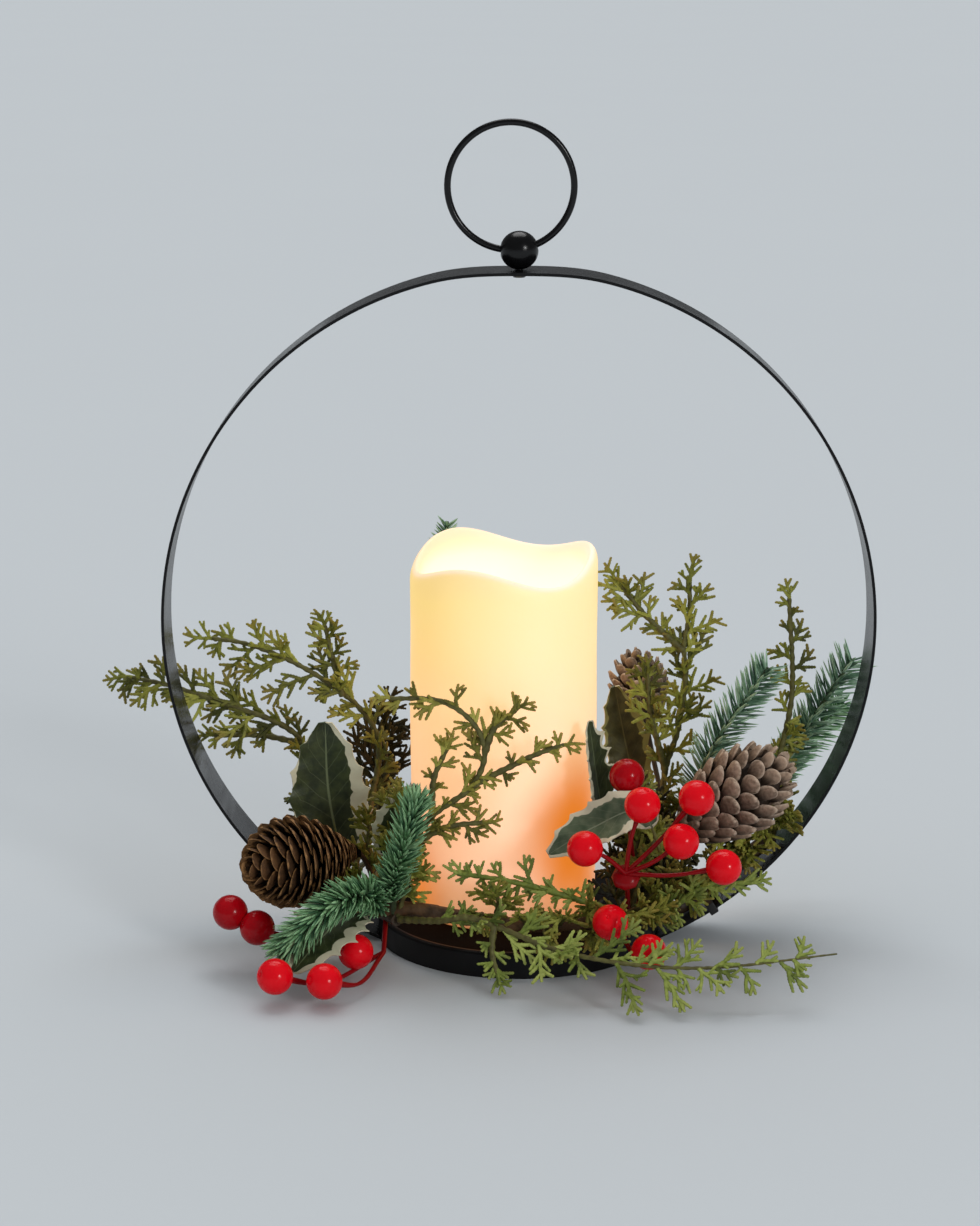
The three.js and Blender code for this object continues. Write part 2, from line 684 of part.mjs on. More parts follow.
const BUNDLES = {
  stem_bundle_left: [
    onStrip(223, 0), onStrip(232, 0), onStrip(240, -1), [-60, -14, 15.5], [-54, -30, 18], [-48, -42, 19],
  ],
  stem_bundle_right: [
    onStrip(-41, 0), onStrip(-56, 0), onStrip(-61, -2), [55, -16, 15.5], [46, -32, 18], [40, -42, 19],
  ],
};

const bundleLines = Object.values(BUNDLES).map((points) => new THREE.CatmullRomCurve3(points.map(vec)));
const SEAT = { steps: 80, gap: 1.35 };

/** Set the root of a sprig on the skin of its side's bundle, at the spot nearest to where it points. */
function seated([root, ...rest]) {
  const from = vec(root);
  const line = bundleLines[from.x < 0 ? 0 : 1].getSpacedPoints(SEAT.steps);
  const gaps = line.map((point) => point.distanceTo(from));
  const near = gaps.indexOf(Math.min(...gaps));
  const radius = THREE.MathUtils.lerp(BUNDLE_RADIUS, BUNDLE_END_RADIUS, near / SEAT.steps);
  const out = from.sub(line[near]).setLength(radius + SEAT.gap);
  return [line[near].clone().add(out).toArray(), ...rest];
}

const CEDARS = {
  cedar_left_long: {
    spine: [[-94, 5, 36], [-89, 14, 54], [-89, 20, 74], [-98, 21, 82], [-120, 22, 90], [-145, 24, 98],
      [-171, 28, 103]],
    face: FRONT, bare: 0.42, reach: 14, twigs: 7,
    forks: [{ spine: [[-89, 20, 74], [-106, 22, 77], [-126, 22, 77]], reach: 7, twigs: 3 }],
  },
  cedar_left_upper: {
    spine: [[-66, 7, 19], [-61, 15, 50], [-58, 24, 74], [-66, 29, 87], [-89, 30, 104], [-113, 31, 114],
      [-127, 32, 116]],
    face: FRONT, bare: 0.45, reach: 16, twigs: 6,
    forks: [{ spine: [[-73, 29.5, 92], [-77, 30, 108], [-80, 30, 122]], reach: 9, twigs: 3 }],
  },
  cedar_left_dark: {
    spine: [[-57, -8, 21], [-57, 14, 32], [-58, 36, 52], [-58, 44, 74], [-53, 47, 92]],
    face: FRONT, bare: 0.4, reach: 14, twigs: 5,
  },
  cedar_left_front: {
    spine: [[-53, -28, 25], [-46, -38, 42], [-34, -42, 62], [-18, -43, 75], [-13, -43, 89], [-18, -43, 101],
      [-30, -42, 109], [-50, -41, 110]],
    face: FRONT, bare: 0.28, reach: 10, twigs: 6,
    forks: [
      { spine: [[-18, -43, 75], [-5, -43.5, 82], [7, -43.5, 88], [18, -43.5, 92]], reach: 5, twigs: 3 },
      { spine: [[-13, -43, 89], [-9, -43.5, 99], [-1, -43.5, 106]], reach: 8, twigs: 2 },
      { spine: [[-34, -42, 62], [-33, -43, 78], [-28, -43, 90]], reach: 7, twigs: 2 },
      { spine: [[-40, -40.5, 51], [-28, -43, 58], [-14, -43, 60]], reach: 8, twigs: 2 },
    ],
  },
  cedar_front_long: {
    spine: [[-45, -46, 21], [-30, -57, 24], [-19, -62, 27], [16, -80, 20], [47, -88, 17], [75, -90, 17],
      [118, -88, 22]],
    face: [0, -0.8, 0.6], bare: 0.25, reach: 14, twigs: 9,
    forks: [{ spine: [[-9, -67, 26], [-10, -72, 17], [-8, -76, 9]], reach: 6, twigs: 2 }],
  },
  cedar_front_small: {
    spine: [[42, -37, 21], [20, -48, 31], [0, -49, 37], [-22, -47, 40]],
    face: FRONT, bare: 0.25, reach: 9, twigs: 5,
  },
  cedar_right_upper: {
    spine: [[66, 4, 20], [60, 14, 45], [61, 20, 63], [66, 21, 80], [69, 21, 104], [68, 21, 118],
      [70, 21, 135], [70, 21, 150]],
    face: FRONT, bare: 0.34, reach: 16, twigs: 7,
    forks: [{ spine: [[68, 21, 116], [58, 21.5, 125], [48, 21.5, 137], [38, 21, 148]], reach: 11, twigs: 4 }],
  },
  cedar_right_thin: {
    spine: [[97, -4, 42], [107, 8, 72], [112, 13, 97], [110, 13, 143]],
    face: FRONT, bare: 0.45, reach: 10, twigs: 5,
  },
  cedar_right_low: {
    spine: [[50, -36, 16], [60, -48, 26], [74, -49, 36], [92, -48, 37]],
    face: FRONT, bare: 0.25, reach: 9, twigs: 4,
  },
};

const FIRS = {
  fir_left_lower: {
    spine: [[-55, -34, 20], [-61, -54, 38], [-74, -67, 39], [-94, -72, 23]],
    bare: 0.28, needles: 34, reach: 8,
  },
  fir_left_upper: {
    spine: [[-50, -40, 23], [-49, -50, 38], [-45, -55, 52], [-40, -55, 72]],
    bare: 0.34, needles: 30, reach: 7.5,
  },
  fir_right_inner: {
    spine: [[83, 3, 29], [74, 4, 45], [76, 3, 70], [101, 1, 112]],
    bare: 0.34, needles: 36, reach: 8.5,
  },
  fir_right_outer: {
    spine: [[101, 6, 46], [106, 20, 58], [116, 27, 73], [138, 28, 109]],
    bare: 0.28, needles: 32, reach: 8.5,
  },
  fir_right_low: {
    spine: [[90, 5, 34], [98, 33, 46], [113, 45, 61], [137, 48, 85]],
    bare: 0.36, needles: 31, reach: 8.5,
  },
  fir_back: {
    spine: [[-76, 5, 21], [-60, 38, 22], [-40, 58, 60], [-33, 58, 120], [-31, 56, 160]],
    bare: 0.7, needles: 20, reach: 6,
  },
};

const HOLLIES = {
  holly_left_tall: {
    spine: [[-65, -8, 20], [-72, -6, 36], [-77, -5, 60], [-78, -7, 91]],
    face: [0.1, -1, 0.1], width: 34, bare: 0.2,
  },
  holly_left_low: {
    spine: [[-57, -33, 17], [-66, -50, 24], [-76, -65, 20], [-87, -78, 10]],
    face: [0, -0.5, 1], width: 23, bare: 0.25,
  },
  holly_left_back: {
    spine: [[-54, -26, 22], [-53, -30, 42], [-48, -32, 58], [-40, -32, 72]],
    face: FRONT, width: 18, bare: 0.4,
  },
  holly_right_edge: {
    spine: [[44, -27, 20], [38, -26, 42], [33, -25, 62], [28, -23, 96]],
    face: [1, -0.25, 0.2], width: 24, bare: 0.45,
  },
  holly_right_low: {
    spine: [[58, -22, 22], [56, -42, 48], [47, -47, 66], [30, -49, 60], [12, -50, 49]],
    face: [-0.2, -1, 0.6], width: 24, bare: 0.5,
  },
  holly_right_back: {
    spine: [[60, 2, 18], [52, 26, 44], [46, 32, 66], [40, 32, 96]],
    face: [0.3, -1, 0], width: 22, bare: 0.5,
  },
};

const CONES = {
  pine_cone_left: {
    foot: [-65, -25, 42], tip: [-110, -46, 43], radius: 18, tiers: 7, scales: 7,
    stem: [[-58, -21, 22], [-60, -22, 34]],
  },
  pine_cone_right: {
    foot: [63, -26, 49], tip: [108, -33, 84], radius: 17, tiers: 7, scales: 7,
    stem: [[58, -8, 21], [60, -19, 36]],
  },
  pine_cone_back: {
    foot: [54, 46, 76], tip: [48, 50, 108], radius: 12, tiers: 6, scales: 6,
    stem: [[63, 3, 19], [62, 34, 40], [57, 44, 62]],
  },
};

const BERRIES = {
  berry_pick_left: {
    stem: [[-68, -6, 15], [-78, -30, 14]],
    twigs: [[[-98, -44, 12], [-114, -45, 23]], [[-92, -44, 13], [-103, -49, 18]]],
  },
  berry_pick_left_low: {
    stem: [[-54, -35, 15], [-53, -52, 9]],
    twigs: [
      [[-56, -64, 8], [-60, -77, 15]],
      [[-62, -80, 6], [-74, -89, 10.5]],
      [[-75, -76, 5], [-93, -88, 12]],
    ],
  },
  berry_pick_right: {
    stem: [[45, -37, 21], [43, -50, 36], [42, -58, 44]],
    twigs: [
      [[34, -62, 52], [26, -64, 56]],
      [[44, -62, 60], [48, -65, 74]],
      [[55, -60, 58], [69, -62, 76]],
      [[53, -64, 51], [63, -67, 60]],
      [[60, -60, 44], [80, -62, 48]],
    ],
  },
  berry_pick_right_low: {
    stem: [[44, -37, 17], [42, -50, 14]],
    twigs: [[[38, -58, 20], [36, -67, 27]], [[46, -60, 11], [51, -70, 16]]],
  },
  berry_single_right: {
    stem: [[51, -28, 21], [46, -35, 40]],
    twigs: [[[44, -36, 60], [43, -36, 77]]],
  },
};

// Assembly

const frame = new THREE.Group();
frame.add(
  piece('hoop_strip', hoopStrip(), BLACK_METAL),
  piece('base_pan', basePan(), BLACK_METAL),
  piece('base_rivet_left', baseRivet(-RIVET.x), STEEL),
  piece('base_rivet_right', baseRivet(RIVET.x), STEEL),
  piece('hanger_ball', hangerBall(), BLACK_METAL),
  piece('hanger_screw', hangerScrew(), STEEL),
  piece('hanger_ring', hangerRing(), BLACK_METAL),
);

const candle = new THREE.Group();
candle.position.set(CANDLE.x, CANDLE.y, 0);
candle.add(
  piece('candle_shell', candleShell(), WAX),
  piece('battery_holder', batteryHolder(), WHITE_PLASTIC),
  piece('battery_cover', batteryCover(), WHITE_PLASTIC),
  piece('cover_contact', contactPlate(INSERT.bottom + COVER.seatDepth - GAP, 12.4, 0.5), STEEL),
  piece('top_contact', contactPlate(INSERT.tubeTop - 2.8, 12.4, 0.5), STEEL),
  piece('circuit_board', circuitBoard(), BOARD_GREEN),
  piece('lamp_stem', lampStem(), WHITE_PLASTIC),
  piece('lamp_plate', lampPlate(), WHITE_PLASTIC),
  piece('led_lamp', ledLamp(), WARM_LAMP),
  piece('switch_knob', switchKnob(), TIE_BLACK),
);
for (let index = 0; index < BATTERY.count; index += 1) {
  candle.add(piece(`battery_${index + 1}`, battery(index), BATTERY_SLEEVE));
}

const greenery = new THREE.Group();
const addAll = (rows, make, look) => {
  for (const [name, row] of Object.entries(rows)) {
    greenery.add(piece(name, make(row), look));
  }
};
addAll(BUNDLES, (points) => stalk(points, BUNDLE_RADIUS, BUNDLE_END_RADIUS, 8, 14), TAPE_BROWN);
addAll({ tie_left: LEFT_TIE, tie_right: RIGHT_TIE }, stripTie, TIE_BLACK);
const onSpine = (make) => (row) => make({ ...row, spine: seated(row.spine) });
const onStem = (make) => (row) => make({ ...row, stem: seated(row.stem) });
addAll(CEDARS, onSpine(cedarSpray), CEDAR_GREEN);
addAll(FIRS, onSpine(firPick), FIR_GREEN);
addAll(HOLLIES, onSpine(hollyLeaf), HOLLY_GREEN);
addAll(CONES, onStem(pineCone), CONE_BROWN);
addAll(BERRIES, onStem(berryPick), BERRY_RED);

const lantern = new THREE.Group();
lantern.add(frame, candle, greenery);

export default lantern;
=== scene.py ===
"""Visual model of a hoop lantern.

A black strip hoop stands on a low round base, holds a lit candle and carries two tied
bunches of winter greenery. Sizes are in millimetres until a piece is settled in metres.
"""

import logging
import math
import random
from bisect import bisect_left
from dataclasses import dataclass, field
from enum import Enum
from typing import Iterable, Optional, Sequence, Union

import bpy
from mathutils import Matrix, Vector, noise


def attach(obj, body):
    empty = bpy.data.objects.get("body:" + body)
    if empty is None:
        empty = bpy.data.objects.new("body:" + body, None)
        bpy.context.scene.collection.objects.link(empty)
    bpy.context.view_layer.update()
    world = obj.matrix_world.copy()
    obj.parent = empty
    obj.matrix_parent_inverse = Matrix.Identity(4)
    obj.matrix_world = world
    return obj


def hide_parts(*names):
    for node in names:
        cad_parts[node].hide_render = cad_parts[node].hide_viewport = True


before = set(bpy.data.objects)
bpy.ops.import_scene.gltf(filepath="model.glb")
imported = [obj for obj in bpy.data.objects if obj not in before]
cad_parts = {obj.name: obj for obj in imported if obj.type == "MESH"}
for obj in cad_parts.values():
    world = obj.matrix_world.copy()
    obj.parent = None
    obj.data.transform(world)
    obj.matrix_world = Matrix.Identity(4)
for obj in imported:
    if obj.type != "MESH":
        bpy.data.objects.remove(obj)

LOG = logging.getLogger("lantern")
MM = 0.001
GOLDEN_ANGLE = math.pi * (3 - math.sqrt(5))
UPRIGHT_TO_X = Matrix.Rotation(math.pi / 2, 4, "Y")

HOOP_RADIUS = 142.0
HOOP_CENTRE = 131.6
STRIP_THICKNESS = 1.2
STRIP_WIDTH = 25.4
STRIP_REACH = 15.0
STRIP_INSIDE = 139.6
BUNDLE_RADII = (3.2, 2.6)
BUNDLE_LINE_RADIUS = 137.7
BUNDLE_SPOTS = 80
CANDLE_X = -6.0
CANDLE_Y = 8.0
CANDLE_CLEARANCE = 39.2
FLOOR_CLEARANCE = 1.5
FACING_FRONT = (0.0, -1.0, 0.15)

Point = tuple[float, float, float]
Colour = tuple[float, float, float]
Stop = tuple[float, Colour]
Run = tuple[Sequence[Vector], Sequence[float]]
Piece = bpy.types.Object
Socket = bpy.types.NodeSocket


class Body(Enum):
    """The moving bodies of the lantern."""

    FRAME = "frame"
    RING = "ring"
    CANDLE = "candle"
    COVER = "cover"
    SWITCH = "switch"


# Workshop: the sums and modelling steps that the sub-assemblies share


def clamp(value: float, low: float = 0.0, high: float = 1.0) -> float:
    """Holds a value between two limits."""
    return min(max(value, low), high)


def ease(share: float) -> float:
    """A smooth rise from 0 to 1."""
    return share * share * (3 - 2 * share)


def taper(start: float, end: float, steps: int) -> list[float]:
    """Radii that change evenly from one end of a stem to the other."""
    return [start + (end - start) * k / steps for k in range(steps + 1)]


def deselect() -> None:
    """Clears the selection, so that an operator acts on new pieces alone."""
    bpy.ops.object.select_all(action="DESELECT")


def pick(*pieces: Piece) -> None:
    """Selects these pieces alone, with the first one active.

    Args:
        pieces: What to select.
    """
    deselect()
    for piece in pieces:
        piece.select_set(True)
    bpy.context.view_layer.objects.active = pieces[0]


def edit() -> None:
    """Enters edit mode with the whole mesh selected."""
    bpy.ops.object.mode_set(mode="EDIT")
    bpy.ops.mesh.select_all(action="SELECT")


def leave_edit() -> None:
    """Goes back to object mode."""
    bpy.ops.object.mode_set(mode="OBJECT")


def close_seams(gap: float = 0.01) -> None:
    """Merges doubles in edit mode and points every face outwards.

    Args:
        gap: Vertices nearer than this are merged.
    """
    bpy.ops.mesh.select_all(action="SELECT")
    bpy.ops.mesh.remove_doubles(threshold=gap)
    bpy.ops.mesh.normals_make_consistent(inside=False)


def lathe(profile: Sequence[tuple[float, float]], steps: int, centre: Point = (0, 0, 0)) -> Piece:
    """Turns a profile about an upright axis.

    Args:
        profile: (radius, height) points, walked by extruding one vertex.
        steps: Facets round the axis.
        centre: Where the axis stands.

    Returns:
        The turned piece.
    """
    deselect()
    bpy.ops.mesh.primitive_plane_add(size=1)
    piece = bpy.context.object
    edit()
    bpy.ops.mesh.merge(type="CENTER")
    bpy.ops.transform.translate(value=(profile[0][0], 0, profile[0][1]))
    for (radius, height), (next_radius, next_height) in zip(profile, profile[1:]):
        step = (next_radius - radius, 0, next_height - height)
        bpy.ops.mesh.extrude_vertices_move(TRANSFORM_OT_translate={"value": step})
    bpy.ops.mesh.select_all(action="SELECT")
    bpy.ops.mesh.spin(steps=steps, angle=math.tau, center=(0, 0, 0), axis=(0, 0, 1))
    close_seams()
    leave_edit()
    piece.data.transform(Matrix.Translation(centre))
    return piece


def block(size: Point, centre: Point) -> Piece:
    """Adds a block to cut with.

    Args:
        size: Width, depth and height.
        centre: Its middle.

    Returns:
        The block.
    """
    deselect()
    bpy.ops.mesh.primitive_cube_add(size=1)
    piece = bpy.context.object
    piece.data.transform(Matrix.Translation(centre) @ Matrix.Diagonal((*size, 1)))
    return piece


def apply_place() -> None:
    """Moves the place and turn of a new primitive into its mesh."""
    bpy.ops.object.transform_apply(location=True, rotation=True, scale=True)


def modify(piece: Piece, kind: str, **settings: object) -> None:
    """Adds a modifier and applies it.

    Args:
        piece: The piece to change.
        kind: The modifier's type.
        settings: The modifier's values by name.
    """
    pick(piece)
    modifier = piece.modifiers.new(kind.lower(), kind)
    for name, value in settings.items():
        setattr(modifier, name, value)
    bpy.ops.object.modifier_apply(modifier=modifier.name)


def cut(piece: Piece, cutter: Piece, operation: str = "DIFFERENCE") -> None:
    """Cuts a piece with another, or welds the other to it, and removes the other.

    Args:
        piece: The piece that stays.
        cutter: The piece that is used up.
        operation: DIFFERENCE or UNION.
    """
    modify(piece, "BOOLEAN", operation=operation, object=cutter, solver="EXACT")
    bpy.data.objects.remove(cutter)


def round_edges(piece: Piece, width: float, degrees: float = 30, segments: int = 2) -> Piece:
    """Bevels the sharp edges of a piece and smooths the rest.

    Args:
        piece: The piece.
        width: Width of the bevel, or 0 for none.
        degrees: Edges that turn more than this are sharp.
        segments: Faces across a bevel.

    Returns:
        The piece.
    """
    if width > 0:
        modify(piece, "BEVEL", width=width, segments=segments, limit_method="ANGLE",
               angle_limit=math.radians(degrees), harden_normals=False)
    pick(piece)
    bpy.ops.object.shade_smooth_by_angle(angle=math.radians(degrees))
    return piece


def join(pieces: Sequence[Piece]) -> Piece:
    """Joins pieces into the first one.

    Args:
        pieces: What to join.

    Returns:
        The joined piece.
    """
    pick(*pieces)
    if len(pieces) > 1:
        bpy.ops.object.join()
    return bpy.context.object


def aim(origin: Vector, along: Vector, facing: Vector, size: Union[float, Point] = 1.0) -> Matrix:
    """Places a template that was modelled along X with its flat side up.

    Args:
        origin: Where its root goes.
        along: Where its X axis points.
        facing: Where its flat side looks.
        size: Scale, or a scale for each axis.

    Returns:
        The matrix that moves the template's mesh there.
    """
    x = along.normalized()
    y = facing.cross(x).normalized()
    turn = Matrix((x, y, x.cross(y))).transposed().to_4x4()
    scale = size if isinstance(size, tuple) else (size, size, size)
    return Matrix.Translation(origin) @ turn @ Matrix.Diagonal((*scale, 1))


def mark(piece: Piece, name: str, values: Sequence[float]) -> None:
    """Writes one number per vertex as an attribute that a finish can read."""
    layer = piece.data.attributes.get(name) or piece.data.attributes.new(name, "FLOAT", "POINT")
    layer.data.foreach_set("value", values)


def tinted(piece: Piece, tint: float) -> Piece:
    """Marks how light a whole piece is, from 0 to 1, and returns it."""
    mark(piece, "tint", [tint] * len(piece.data.vertices))
    return piece


def stamp(template: Piece, matrix: Matrix, tint: float = 0.5) -> Piece:
    """Copies a template, with a mesh of its own, to a place.

    Args:
        template: The piece to copy.
        matrix: Where the copy goes.
        tint: How light this copy is, from 0 to 1.

    Returns:
        The copy.
    """
    copy = template.copy()
    copy.data = template.data.copy()
    copy.data.transform(matrix)
    bpy.context.scene.collection.objects.link(copy)
    return tinted(copy, tint)


def scrap(*pieces: Piece) -> None:
    """Removes templates that are used up."""
    for piece in pieces:
        bpy.data.objects.remove(piece)


def wear(piece: Piece, *finishes: "Finish") -> Piece:
    """Gives a piece its finishes, one material slot each.

    Args:
        piece: The piece to dress.
        finishes: Its finishes, in the order of their slots.

    Returns:
        The piece.
    """
    piece.data.materials.clear()
    for finish in finishes:
        piece.data.materials.append(finish.material())
    return piece


def tube(runs: Iterable[Run], roundness: int = 2) -> Piece:
    """Sweeps round stems along lines.

    Args:
        runs: For each stem its points and the radius at each point.
        roundness: 0 for four sides, and two more for each step.

    Returns:
        The stems as one mesh.
    """
    curve = bpy.data.curves.new("stems", "CURVE")
    curve.dimensions = "3D"
    curve.bevel_depth = 1.0
    curve.bevel_resolution = roundness
    curve.use_fill_caps = True
    for points, radii in runs:
        spline = curve.splines.new("POLY")
        spline.points.add(len(points) - 1)
        for knot, point, radius in zip(spline.points, points, radii):
            knot.co = (*point, 1.0)
            knot.radius = radius
    piece = bpy.data.objects.new("stems", curve)
    bpy.context.scene.collection.objects.link(piece)
    pick(piece)
    bpy.ops.object.convert(target="MESH")
    piece = bpy.context.object
    edit()
    close_seams(0.001)
    leave_edit()
    return round_edges(piece, 0, 60)


def settle(piece: Piece, name: str, body: Body, slot: str, *nodes: str) -> Piece:
    """Scales a finished mesh to metres and hands it to its body.

    Args:
        piece: The finished piece, in millimetres.
        name: Its name.
        body: The body that carries it.
        slot: Not used.
        nodes: The solids that it stands for.

    Returns:
        The piece.
    """
    piece.name = name
    piece.data.name = name
    piece.data.transform(Matrix.Scale(MM, 4))
    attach(piece, body.value)
    if nodes:
        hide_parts(*nodes)
    LOG.info("%s: %d faces", name, len(piece.data.polygons))
    return piece


# Finishes


class NodeBench:
    """A node tree that is being laid out for a finish or for the world."""

    def __init__(self, owner: Union[bpy.types.Material, bpy.types.World], shader: str) -> None:
        """Opens the owner's tree at the shader that it feeds.

        Args:
            owner: The material or the world.
            shader: The shader node's name.
        """
        owner.use_nodes = True
        self.tree = owner.node_tree
        self.shader = self.tree.nodes[shader]

    def feed(self, socket: Socket, value: object) -> None:
        """Links a socket to another one, or sets its constant.

        Args:
            socket: The input.
            value: A socket, or a number, vector or colour.
        """
        if isinstance(value, Socket):
            self.tree.links.new(value, socket)
        elif isinstance(value, tuple) and socket.type == "RGBA":
            socket.default_value = (*value, 1.0)
        else:
            socket.default_value = value

    def set(self, **values: object) -> None:
        """Feeds the shader's sockets, with _ for the spaces in their names."""
        for name, value in values.items():
            self.feed(self.shader.inputs[name.replace("_", " ")], value)

    def node(self, kind: str, inputs: dict, output: Union[int, str] = 0, **settings: object) -> Socket:
        """Adds a node.

        Args:
            kind: The node's type, without its prefix.
            inputs: Values or sockets by input.
            output: Which output to return.
            settings: The node's own options.

        Returns:
            The output socket.
        """
        made = self.tree.nodes.new("ShaderNode" + kind)
        for name, value in settings.items():
            setattr(made, name, value)
        for key, value in inputs.items():
            self.feed(made.inputs[key], value)
        return made.outputs[output]

    def place(self) -> Socket:
        """Object coordinates, in metres."""
        return self.node("TexCoord", {}, "Object")

    def axis(self, vector: Socket, name: str) -> Socket:
        """One coordinate of a vector."""
        return self.node("SeparateXYZ", {0: vector}, name)

    def noise(self, scale: float, detail: float = 2.0, vector: Optional[Socket] = None) -> Socket:
        """Soft noise with that many patches in a metre."""
        return self.node("TexNoise", {"Vector": vector or self.place(), "Scale": scale, "Detail": detail})

    def attribute(self, name: str) -> Socket:
        """A number that is written on the mesh."""
        return self.node("Attribute", {}, "Fac", attribute_name=name)

    def math(self, operation: str, first: object, second: object = 0.0) -> Socket:
        """A sum on two values."""
        return self.node("Math", {0: first, 1: second}, operation=operation)

    def centred(self, value: Socket, amount: float) -> Socket:
        """Turns a share around one half into a step to either side of zero."""
        return self.math("MULTIPLY", self.math("SUBTRACT", value, 0.5), amount)

    def span(self, value: Socket, low: float, high: float, to_low: float = 0.0,
             to_high: float = 1.0) -> Socket:
        """Maps low..high smoothly to another range, and holds it outside."""
        inputs = {0: value, 1: low, 2: high, 3: to_low, 4: to_high}
        return self.node("MapRange", inputs, interpolation_type="SMOOTHSTEP")

    def ramp(self, value: Socket, *stops: Stop) -> Socket:
        """Colours along a value.

        Args:
            value: Where to read the colours.
            stops: Each position with its colour.

        Returns:
            The colour.
        """
        made = self.tree.nodes.new("ShaderNodeValToRGB")
        self.feed(made.inputs[0], value)
        marks = made.color_ramp.elements
        while len(marks) < len(stops):
            marks.new(1.0)
        for element, (position, colour) in zip(marks, stops):
            element.position = position
            element.color = (*colour, 1.0)
        return made.outputs[0]

    def mix(self, share: object, first: object, second: object, blend: str = "MIX") -> Socket:
        """Blends two colours."""
        return self.node("Mix", {0: share, 6: first, 7: second}, 2, data_type="RGBA", blend_type=blend)

    def bump(self, height: Socket, depth: float, strength: float = 1.0) -> None:
        """Roughens the surface by a height, over a depth in metres."""
        normal = self.node("Bump", {"Height": height, "Distance": depth, "Strength": strength})
        self.set(Normal=normal)


def shade(colour: Colour, level: float) -> Colour:
    """A colour made lighter or darker by a factor."""
    return tuple(level * channel for channel in colour)


@dataclass(frozen=True)
class Finish:
    """A surface finish, whose material is made once and shared."""

    name: str

    def material(self) -> bpy.types.Material:
        """Finds the finish's material, or makes it.

        Returns:
            The material.
        """
        made = bpy.data.materials.get(self.name)
        if made is None:
            made = bpy.data.materials.new(self.name)
            self.lay(NodeBench(made, "Principled BSDF"))
        return made

    def lay(self, bench: NodeBench) -> None:
        """Lays out the nodes."""
        raise NotImplementedError


@dataclass(frozen=True)
class Coated(Finish):
    """Paint, plastic or bare metal with soft patches and a fine grain."""

    colour: Colour
    roughness: tuple[float, float] = (0.35, 0.5)
    metallic: float = 0.0
    patch: float = 45.0
    grain: float = 1600.0
    grain_depth: float = 0.00004
    uneven: float = 0.15
    specular: float = 0.5

    def lay(self, bench: NodeBench) -> None:
        """Patches vary the colour and gloss, and the grain is a fine bump.

        Args:
            bench: The material's nodes.
        """
        cloud = bench.noise(self.patch, 4)
        grain = bench.noise(self.grain, 2)
        dark = shade(self.colour, 1 - self.uneven)
        light = shade(self.colour, 1 + self.uneven)
        bench.set(
            Base_Color=bench.ramp(cloud, (0.3, dark), (0.7, light)),
            Roughness=bench.span(cloud, 0.3, 0.7, *self.roughness),
            Metallic=self.metallic,
            Specular_IOR_Level=self.specular,
        )
        bench.bump(grain, self.grain_depth)


